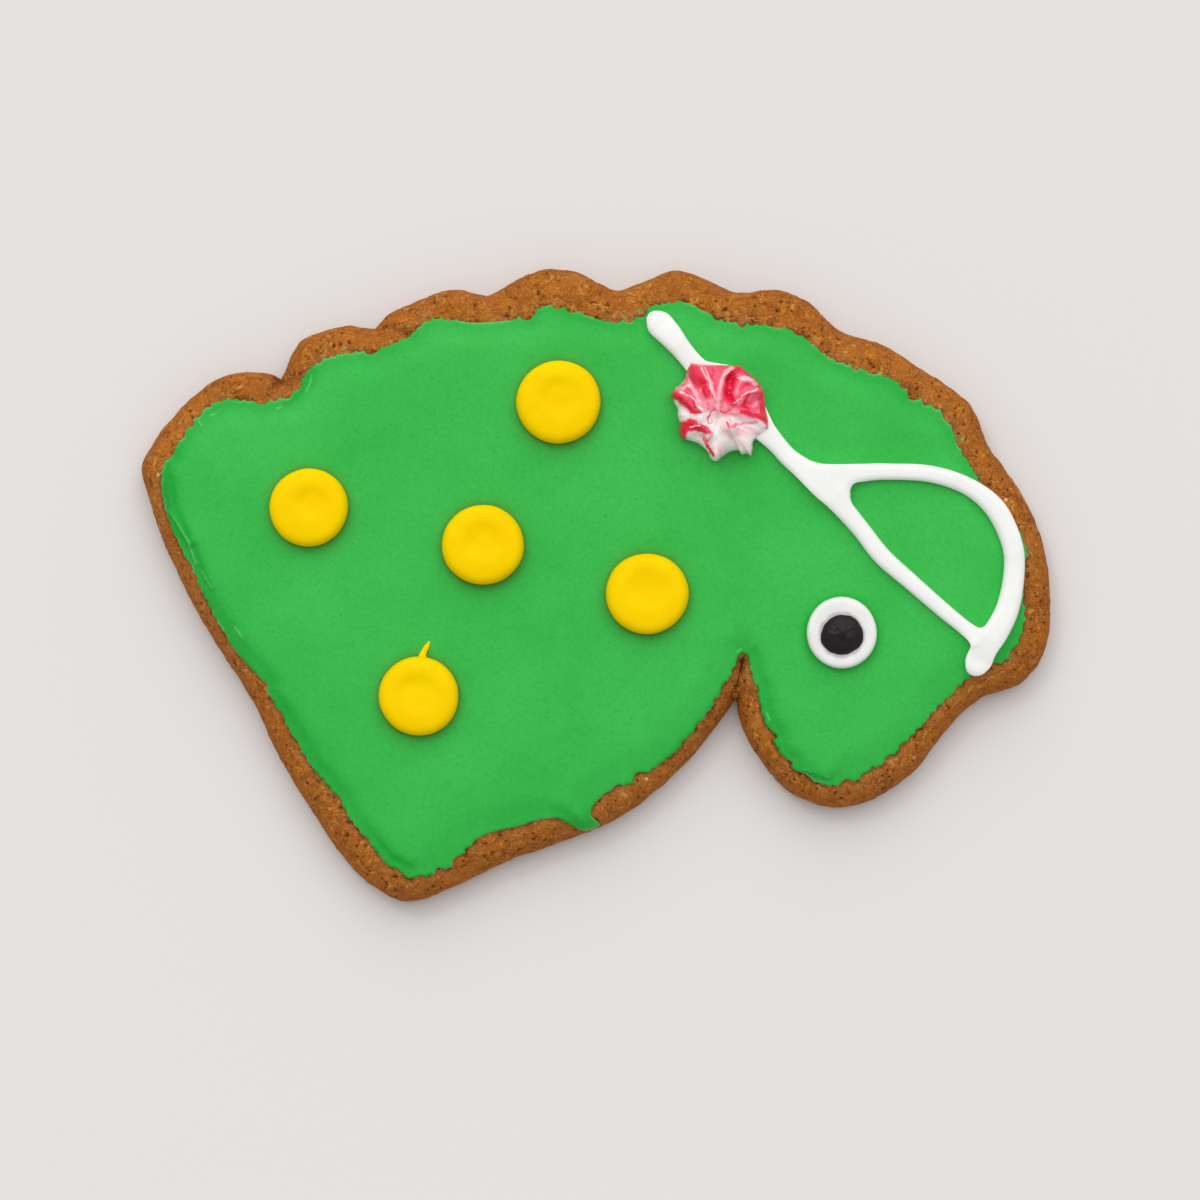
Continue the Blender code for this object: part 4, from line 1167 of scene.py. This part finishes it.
# Creases that the nozzle left as it pulled away, about the pupil's middle.
PUPIL_WRINKLES = [
    [(0.0, 0.3), (-0.6, 1.2), (-0.9, 2.0)], [(0.1, 0.4), (0.3, 1.3), (0.2, 2.1)],
    [(0.1, 0.3), (1.0, 0.9), (1.9, 1.0)], [(0.0, 0.2), (-1.2, 0.1), (-2.0, 0.4)],
    [(0.1, 0.1), (0.9, -0.6), (1.3, -1.6)], [(0.0, 0.0), (-0.6, -1.0), (-0.5, -1.9)],
]
WRINKLE_RISE, WRINKLE_HALF_WIDTH = 0.08, 0.3
PUPIL_MIDDLE, PUPIL_SIZE, PUPIL_HEIGHT = (32.2, -6.5), (5.5, 5.4), 1.35
PUPIL_PROFILE = [
    (0.0, 0.94), (0.12, 0.92), (0.3, 0.86), (0.55, 0.74), (0.78, 0.56), (0.93, 0.32), (1.0, 0.08),
    (0.99, 0.0),
]


def make_eye(white, black):
    """The white disc, stained where the pupil's dye bled into it, and the wrinkled black drop on it."""
    base, height = floor_at(EYE_MIDDLE) - SUNK, EYE_HEIGHT + SUNK
    points, faces = turned(EYE_PROFILE, EYE_MIDDLE, EYE_SIZE, base, height, 81, 0.008)
    disc = finish_mesh("white_eye_disc", points, faces, white)
    away = away_from(points, PUPIL_MIDDLE)
    bleed = 1 - smooth_step(0.0, 0.45, away - PUPIL_SIZE[0] / 2 + 0.2 * grain(points, 1.2, 83))
    paint(disc, "stain_and_shade", 0.45 * bleed)
    set_in_frame(disc, "eye_white")
    dish = base + height * EYE_PROFILE[0][1] - SUNK
    points, faces = turned(PUPIL_PROFILE, PUPIL_MIDDLE, PUPIL_SIZE, dish, PUPIL_HEIGHT, 82, 0.06)
    points[:, 2] += 0.09 * grain(points, 1.3, 84)
    for path in PUPIL_WRINKLES:
        away, along = distance_to_path(points[:, :2] - np.array(PUPIL_MIDDLE), path)
        points[:, 2] += WRINKLE_RISE * (1 - 0.6 * along) * cone(away, WRINKLE_HALF_WIDTH)
    pupil = finish_mesh("black_pupil", points, faces, black)
    set_in_frame(pupil, "eye_pupil")


# ---------------------------------------------------------------- the rosette

ROSETTE_MIDDLE = np.array((16.1, 22.65))
STAR_SIZE = 1.03  # the star's true size, in that of the rows below
STAR_STEP, STAR_RINGS = 0.09, 80
FOOT_SHARE = 0.9  # its foot's width, in that of the rim
SHOULDER_HEIGHT, MIDDLE_RISE, RIM_HEIGHT = 2.6, 0.6, 0.9
# The star's tips, where its outline turns sharply.
STAR_TIPS = [
    (-3.6, 6.3), (2.6, 6.0), (5.75, 2.7), (6.3, -2.0), (4.1, -5.6), (-5.3, -0.3), (-6.2, 2.3),
]
# The star's outline about its middle, clockwise from the upper left tip.
STAR = [
    (-3.6, 6.3), (-2.2, 6.1), (-0.5, 6.05), (1.4, 6.0), (2.6, 6.0), (3.7, 5.1), (4.6, 4.3), (5.3, 3.5),
    (5.75, 2.7), (5.9, 1.3), (6.0, 0.3), (6.3, -0.9), (6.3, -2.0), (5.6, -2.8), (4.9, -3.2),
    (4.35, -3.8), (4.3, -4.7), (4.1, -5.6), (3.5, -5.3), (2.9, -5.35), (2.6, -4.95), (1.5, -5.0),
    (0.4, -5.7), (-0.1, -6.15), (-0.5, -6.25), (-0.9, -6.05), (-1.5, -5.0), (-2.6, -4.0), (-3.7, -3.6),
    (-4.7, -3.3), (-5.1, -2.4), (-5.0, -1.5), (-5.3, -0.3), (-5.3, 0.5), (-5.6, 1.0), (-6.2, 2.3),
    (-5.6, 3.0), (-4.9, 3.6), (-4.3, 4.4), (-4.1, 5.3),
]
# Ridges that the nozzle's teeth drew, from the rim inwards: path, height and half width.
RIDGES = [
    ([(-3.5, 6.2), (-2.7, 4.5), (-1.7, 2.2), (-0.7, 0.4)], 0.9, 0.75),
    ([(-1.0, 6.1), (-0.6, 3.9), (-0.3, 1.7)], 0.45, 0.5),
    ([(1.7, 5.8), (0.7, 4.9), (0.2, 3.4), (0.0, 1.5), (0.2, 0.1)], 0.9, 0.6),
    ([(2.6, 5.9), (3.7, 4.9), (4.5, 3.8)], 0.7, 0.6),
    ([(4.4, 4.1), (2.8, 3.9), (2.2, 2.5), (1.5, 1.1)], 0.6, 0.5),
    ([(5.6, 2.7), (4.3, 2.5), (3.1, 1.7), (1.8, 0.7)], 0.9, 0.7),
    ([(6.1, -1.9), (5.4, -0.9), (3.8, -0.3), (1.9, -0.3)], 0.8, 0.6),
    ([(4.0, -5.4), (3.6, -4.0), (2.6, -2.7), (1.2, -1.8)], 1.0, 0.8),
    ([(-0.5, -6.1), (0.0, -4.7), (0.4, -3.4), (0.8, -2.1)], 1.1, 1.0),
    ([(-4.6, -3.2), (-4.1, -2.1), (-2.4, -1.9), (-1.2, -2.5)], 0.9, 0.8),
    ([(-5.2, -0.3), (-4.1, -0.6), (-2.4, -0.9)], 0.6, 0.6),
    ([(-6.1, 2.2), (-4.7, 2.0), (-3.6, 0.8), (-2.4, -0.3)], 1.0, 0.7),
    ([(-4.0, 3.4), (-3.0, 2.2), (-2.2, 0.4)], 0.6, 0.5),
    ([(1.9, -5.0), (1.6, -3.8), (1.3, -2.4)], 0.7, 1.0),
    # Fine burrs along the ridges.
    ([(-2.8, 4.8), (-2.0, 3.4), (-1.4, 1.5), (-1.1, 0.1)], 0.28, 0.17),
    ([(1.6, 5.2), (0.5, 4.5), (0.1, 2.0), (0.2, 0.7)], 0.28, 0.17),
    ([(1.9, 1.5), (3.3, 2.3), (5.2, 2.6)], 0.28, 0.17),
    ([(-5.0, 2.6), (-4.2, 2.3), (-3.4, 1.8), (-2.7, 0.1)], 0.28, 0.17),
    ([(2.2, 4.3), (3.0, 4.1), (4.1, 3.7), (4.8, 2.9)], 0.25, 0.2),
    ([(3.4, -0.2), (4.4, 0.2), (4.9, 1.2)], 0.2, 0.17),
    ([(-4.4, -1.4), (-3.2, -1.5), (-2.0, -2.1)], 0.25, 0.17),
]
# Hollows and pits between the ridges: middle, reach and depth.
HOLLOWS = [
    ((-1.9, 3.4), 0.55, 0.5), ((-1.95, 3.5), 0.22, 0.25), ((-1.5, 1.45), 0.25, 0.2),
    ((1.25, 3.9), 0.6, 0.5), ((1.1, 4.1), 0.2, 0.22), ((1.3, 2.6), 0.18, 0.2),
    ((1.75, 2.5), 0.15, 0.18), ((1.3, 1.8), 0.45, 0.5), ((3.4, 1.0), 0.4, 0.4),
    ((-2.3, -3.1), 0.3, 0.3),
]
EDGE_SOFTNESS = 0.07  # width that every streak's edge blurs over, besides its own share
# Streaks of the two icings, each over those before it, and narrow whitish lines that are painted
# highlights: how pink it is, its half width and its path.
STREAKS = [
    (0.4, 1.1, [(-3.0, 1.0), (-1.6, 0.9), (-0.3, 0.9), (1.0, 0.6), (2.6, 0.3), (4.4, -0.1)]),
    (0.62, 1.9, [(-4.6, 2.2), (-3.0, 3.8), (-1.6, 4.8), (0.8, 4.8), (3.0, 3.8), (4.8, 2.2), (5.2, 0.6)]),
    (0.56, 1.3, [(-2.6, 2.6), (-0.4, 2.4), (2.2, 1.6), (4.4, 0.6)]),
    (0.5, 0.6, [(-4.0, 4.0), (-4.5, 3.3), (-5.0, 2.7)]),
    (0.1, 0.12, [(-4.3, 4.9), (-4.8, 3.8), (-5.5, 3.1)]),
    (0.3, 0.2, [(-4.1, 4.9), (-3.3, 2.9), (-2.5, 1.1)]),
    (0.2, 0.14, [(-4.6, 3.0), (-4.1, 3.3), (-3.8, 3.4)]),
    (0.85, 0.75, [(-3.6, 6.2), (-3.1, 4.9), (-2.5, 3.6)]),
    (1.0, 0.42, [(-2.2, 3.9), (-1.9, 3.1), (-1.6, 2.4)]),
    (0.9, 0.2, [(-1.6, 2.4), (-1.2, 1.5)]),
    (0.9, 0.6, [(2.3, 5.8), (3.1, 5.2), (4.2, 4.3), (4.9, 3.7)]),
    (1.0, 0.6, [(1.5, 4.7), (1.2, 3.6), (1.2, 2.6)]),
    (0.95, 0.4, [(1.2, 2.6), (1.4, 1.7), (1.8, 1.1)]),
    (0.85, 0.3, [(5.6, 2.7), (5.2, 1.6), (5.7, 0.6), (6.1, -0.9), (6.2, -2.0)]),
    (1.0, 0.35, [(3.0, -0.1), (4.5, -0.45), (5.6, -0.9), (6.2, -1.8)]),
    (1.0, 0.5, [(-6.1, 2.3), (-5.4, 1.9), (-4.4, 1.3), (-3.5, 0.5), (-2.9, -0.1)]),
    (0.75, 0.3, [(-4.3, 1.5), (-3.4, 0.9), (-2.6, 0.0)]),
    (1.0, 0.8, [(-4.9, -2.9), (-4.5, -1.9), (-3.6, -1.7)]),
    (1.0, 0.45, [(-3.8, -1.8), (-2.6, -2.0), (-1.7, -2.35)]),
    (0.7, 0.25, [(-2.0, -2.1), (-1.3, -2.6)]),
    (0.85, 0.09, [(-1.6, -3.9), (-1.2, -4.7), (-0.8, -5.5)]),
    (0.5, 0.16, [(-1.9, -3.2), (-1.5, -3.8)]),
    (0.6, 0.06, [(-1.6, -3.8), (-1.2, -3.3)]),
    (0.9, 0.16, [(3.6, 2.0), (3.1, 0.8), (3.6, 0.5)]),
    (0.95, 0.14, [(5.2, 0.8), (5.5, -0.3)]),
    (0.95, 0.1, [(-0.8, 5.5), (-0.9, 4.5)]),
    # Painted highlights: narrow whitish lines along the ridges' crests, where the glossy icing catches the
    # light.
    (0.25, 0.3, [(1.6, 5.7), (0.6, 4.7), (0.1, 3.0), (0.1, 0.9)]),
    (0.34, 0.3, [(2.7, 4.2), (3.8, 4.1), (4.6, 3.5)]),
    (0.15, 0.04, [(-2.2, 5.6), (-1.3, 3.9), (-0.8, 2.4), (-0.5, 1.0)]),
    (0.3, 0.05, [(-1.8, 5.6), (-1.0, 3.8), (-0.6, 2.2)]),
    (0.1, 0.06, [(-4.9, 2.5), (-4.2, 2.3), (-3.5, 1.8), (-2.9, 1.1)]),
    (0.12, 0.1, [(-3.0, 0.9), (-2.6, 0.5), (-2.1, 0.1)]),
    (0.15, 0.05, [(4.8, 2.9), (3.0, 2.0), (1.9, 1.0)]),
    (0.2, 0.05, [(2.2, 4.3), (3.2, 4.4), (4.3, 4.0)]),
    (0.2, 0.06, [(-3.7, -1.95), (-3.1, -1.8), (-2.5, -1.8)]),
    (0.95, 0.05, [(-1.75, 1.4), (-1.6, 1.1), (-1.3, 1.1)]),
    (0.7, 0.04, [(-1.75, 1.4), (-1.7, 1.8), (-1.4, 1.9), (-1.3, 1.5)]),
    (0.42, 0.4, [(-1.6, 1.3), (-0.6, 1.2), (0.6, 0.8)]),
    (0.04, 0.55, [(-5.5, 1.0), (-4.9, 0.3), (-4.3, -0.5), (-5.0, -0.6)]),
    (0.04, 0.35, [(-3.2, -0.7), (-2.0, -0.6), (-0.9, -0.3)]),
    (0.04, 0.8, [(2.3, -1.4), (3.8, -1.4), (5.3, -2.0)]),
    (0.17, 0.5, [(2.4, -2.5), (3.5, -2.2), (4.8, -2.9)]),
    (0.38, 0.16, [(1.2, -2.0), (3.0, -1.3), (4.8, -1.4)]),
    (0.75, 0.04, [(-1.3, -1.4), (-1.3, -0.6), (-0.8, 0.1), (-0.5, 0.4)]),
    (0.55, 0.03, [(-1.3, -1.4), (-1.0, -1.3), (-0.9, -0.9)]),
    (0.75, 0.04, [(0.1, 0.5), (0.3, -0.1), (0.9, -0.1), (1.3, 0.2)]),
    (0.8, 0.1, [(0.9, -1.5), (1.0, -1.9)]),
]


def star_heights(places, share):
    """Height of the rosette's skin: a low mound that falls to the rim, with ridges and hollows."""
    height = RIM_HEIGHT + (SHOULDER_HEIGHT - RIM_HEIGHT) * (1 - share**9) ** 0.5
    height += MIDDLE_RISE * (1 - share) ** 1.2
    full = np.sqrt(np.clip(1 - share**12, 0, 1))
    for path, rise, half_width in RIDGES:
        away, _ = distance_to_path(places, path)
        height += rise * full * (1 - smooth_step(0, 1, away / (1.9 * half_width)))
    for middle, reach, drop in HOLLOWS:
        height -= drop * hump(away_from(places, middle), reach)
    return height + 0.06 * grain(places, 0.9, 71)


def pink_shares(around):
    """How pink the icing is at each place about the rosette's middle: a faint marbling, then the streaks and
    the painted highlights.
    """
    angle = np.arctan2(around[:, 1], around[:, 0])
    outwards = np.linalg.norm(around, axis=1)
    # Fine across and long inwards, because the nozzle drew it from the rim to the middle.
    spokes = np.column_stack([3.2 * np.cos(angle), 3.2 * np.sin(angle), 0.22 * outwards])
    marbling = grain(spokes, 0.55, 74, 4)
    pink = 0.06 + 0.16 * np.clip(marbling, -0.3, 1)
    for value, half_width, path in STREAKS:
        away, _ = distance_to_path(around, path)
        cover = 1 - smooth_step(0.45 * half_width, 1.35 * half_width + EDGE_SOFTNESS, away)
        pink = pink * (1 - cover) + value * cover
    return np.clip(pink + 0.2 * marbling * np.clip(4 * pink * (1 - pink), 0, 1), 0, 1)


def make_rosette(material):
    """The star-piped rosette, as rings of points that shrink from the star's outline to its middle."""
    star = smooth_loop(STAR, STAR_STEP, STAR_TIPS)
    rim = len(star)
    shares = np.linspace(0, 1, STAR_RINGS)[1:] ** 0.85
    places = np.vstack([np.zeros((1, 2)), *[star * share for share in shares]])
    share_of = np.r_[0, np.repeat(shares, rim)]
    floor = floor_at(ROSETTE_MIDDLE)
    skin = np.column_stack([places, floor + star_heights(places, share_of)])
    foot = np.column_stack([star * FOOT_SHARE, np.full(rim, floor - SUNK)])
    points = np.vstack([skin, foot])
    around = points[:, :2].copy()
    points[:, :2] = ROSETTE_MIDDLE + STAR_SIZE * around
    piece = finish_mesh("star_rosette", points, cap_faces(rim, len(shares) + 1), material)
    warp = shaken(points, 0.22, 1.3, (72, 73)) + shaken(points, 0.07, 0.35, (75, 76))
    paint(piece, "pink", pink_shares(around + warp))
    set_in_frame(piece, "rosette")


# ---------------------------------------------------------------- camera, floor and light

CAMERA_HEIGHT = 700.0
CAMERA_AIM = (0.53, -1.92)
SENSOR = 36.0
PICTURE_SIDE = 1200
LENGTH_PIXELS = 908  # the biscuit's length in the picture


def make_camera():
    """Straight above the biscuit, framed so that its length takes up LENGTH_PIXELS of the picture."""
    length = (cad_box[1].x - cad_box[0].x) / MM
    pixel = length / LENGTH_PIXELS * CAMERA_HEIGHT / (CAMERA_HEIGHT - WIDEST_LINE)
    camera = bpy.data.cameras.new("camera")
    camera.sensor_width = SENSOR
    camera.lens = SENSOR * CAMERA_HEIGHT / (pixel * PICTURE_SIDE)
    camera.clip_start, camera.clip_end = 0.01, 10
    holder = add_object("camera", camera)
    holder.location = (CAMERA_AIM[0] * MM, CAMERA_AIM[1] * MM, CAMERA_HEIGHT * MM)
    bpy.context.scene.camera = holder


FLOOR_HALF_SIDE = 1.5  # in metres


def make_floor():
    mesh = bpy.data.meshes.new("floor")
    edit = bmesh.new()
    bmesh.ops.create_grid(edit, x_segments=1, y_segments=1, size=FLOOR_HALF_SIDE)
    edit.to_mesh(mesh)
    edit.free()
    values = {"Roughness": 0.9, "Base Color": linear("#e6e4e2")}
    material, _, _ = new_material("pale_matt_board", values)
    mesh.materials.append(material)
    add_object("floor", mesh)


ROOM_STRENGTH = 0.5
WINDOW_STRENGTH = 1.75
WINDOW_ANGLE = math.radians(75)
WINDOW_TILT = math.radians(38)
# The lamp's place and width in metres, and its power in watts.
LAMP_PLACE, LAMP_WIDTH, LAMP_POWER = (-0.3, 0.45, 0.8), 0.12, 0.5


def make_light():
    """A bright room, a wide soft window on the side of the biscuit's back, and a small lamp for glints."""
    world = bpy.data.worlds.new("soft_room")
    world.use_nodes = True
    background = world.node_tree.nodes["Background"]
    background.inputs["Color"].default_value = linear("#ffffff")
    background.inputs["Strength"].default_value = ROOM_STRENGTH
    bpy.context.scene.world = world
    window = bpy.data.lights.new("wide_window", "SUN")
    window.angle = WINDOW_ANGLE
    window.energy = WINDOW_STRENGTH
    add_object("wide_window", window).rotation_euler = (-WINDOW_TILT, 0, 0)
    lamp = bpy.data.lights.new("small_lamp", "AREA")
    lamp.shape = "DISK"
    lamp.size = LAMP_WIDTH
    lamp.energy = LAMP_POWER
    holder = add_object("small_lamp", lamp)
    holder.location = LAMP_PLACE
    holder.rotation_euler = (-Vector(LAMP_PLACE)).to_track_quat("-Z", "Y").to_euler()
    bpy.context.scene.view_settings.view_transform = "Standard"


# ---------------------------------------------------------------- assembly


def main():
    make_camera()
    make_floor()
    make_light()
    make_biscuit(gingerbread())
    # Painted on the green sheet: painted shade, the spots' yellow with painted shade round them, and painted
    # highlights.
    stains_and_painted_light = [("painted_shade", "#16a433"), ("stain_and_shade", "#5f8a2e"), ("painted_highlight", "#88e394")]
    bled = [("stain_and_shade", "#8f4f78")]
    make_green_icing(set_icing("green_royal_icing", "#37b94b", "#41c154", 14.0, stains_and_painted_light))
    make_spots(set_icing("yellow_royal_icing", "#ffd100", "#ffd800", 5.0, sheen=0.04, dusty=0.2))
    make_white_line(set_icing("white_royal_icing", "#f5f6f1", "#f8f9f5", 4.0, dusty=0.15))
    white = set_icing("white_eye_icing", "#ecede9", "#f3f4f0", 4.0, bled, dusty=0.15)
    black = set_icing("black_royal_icing", "#171115", "#231b20", 1.2, roughness=0.45, sheen=0.28)
    make_eye(white, black)
    make_rosette(marbled_icing())


main()
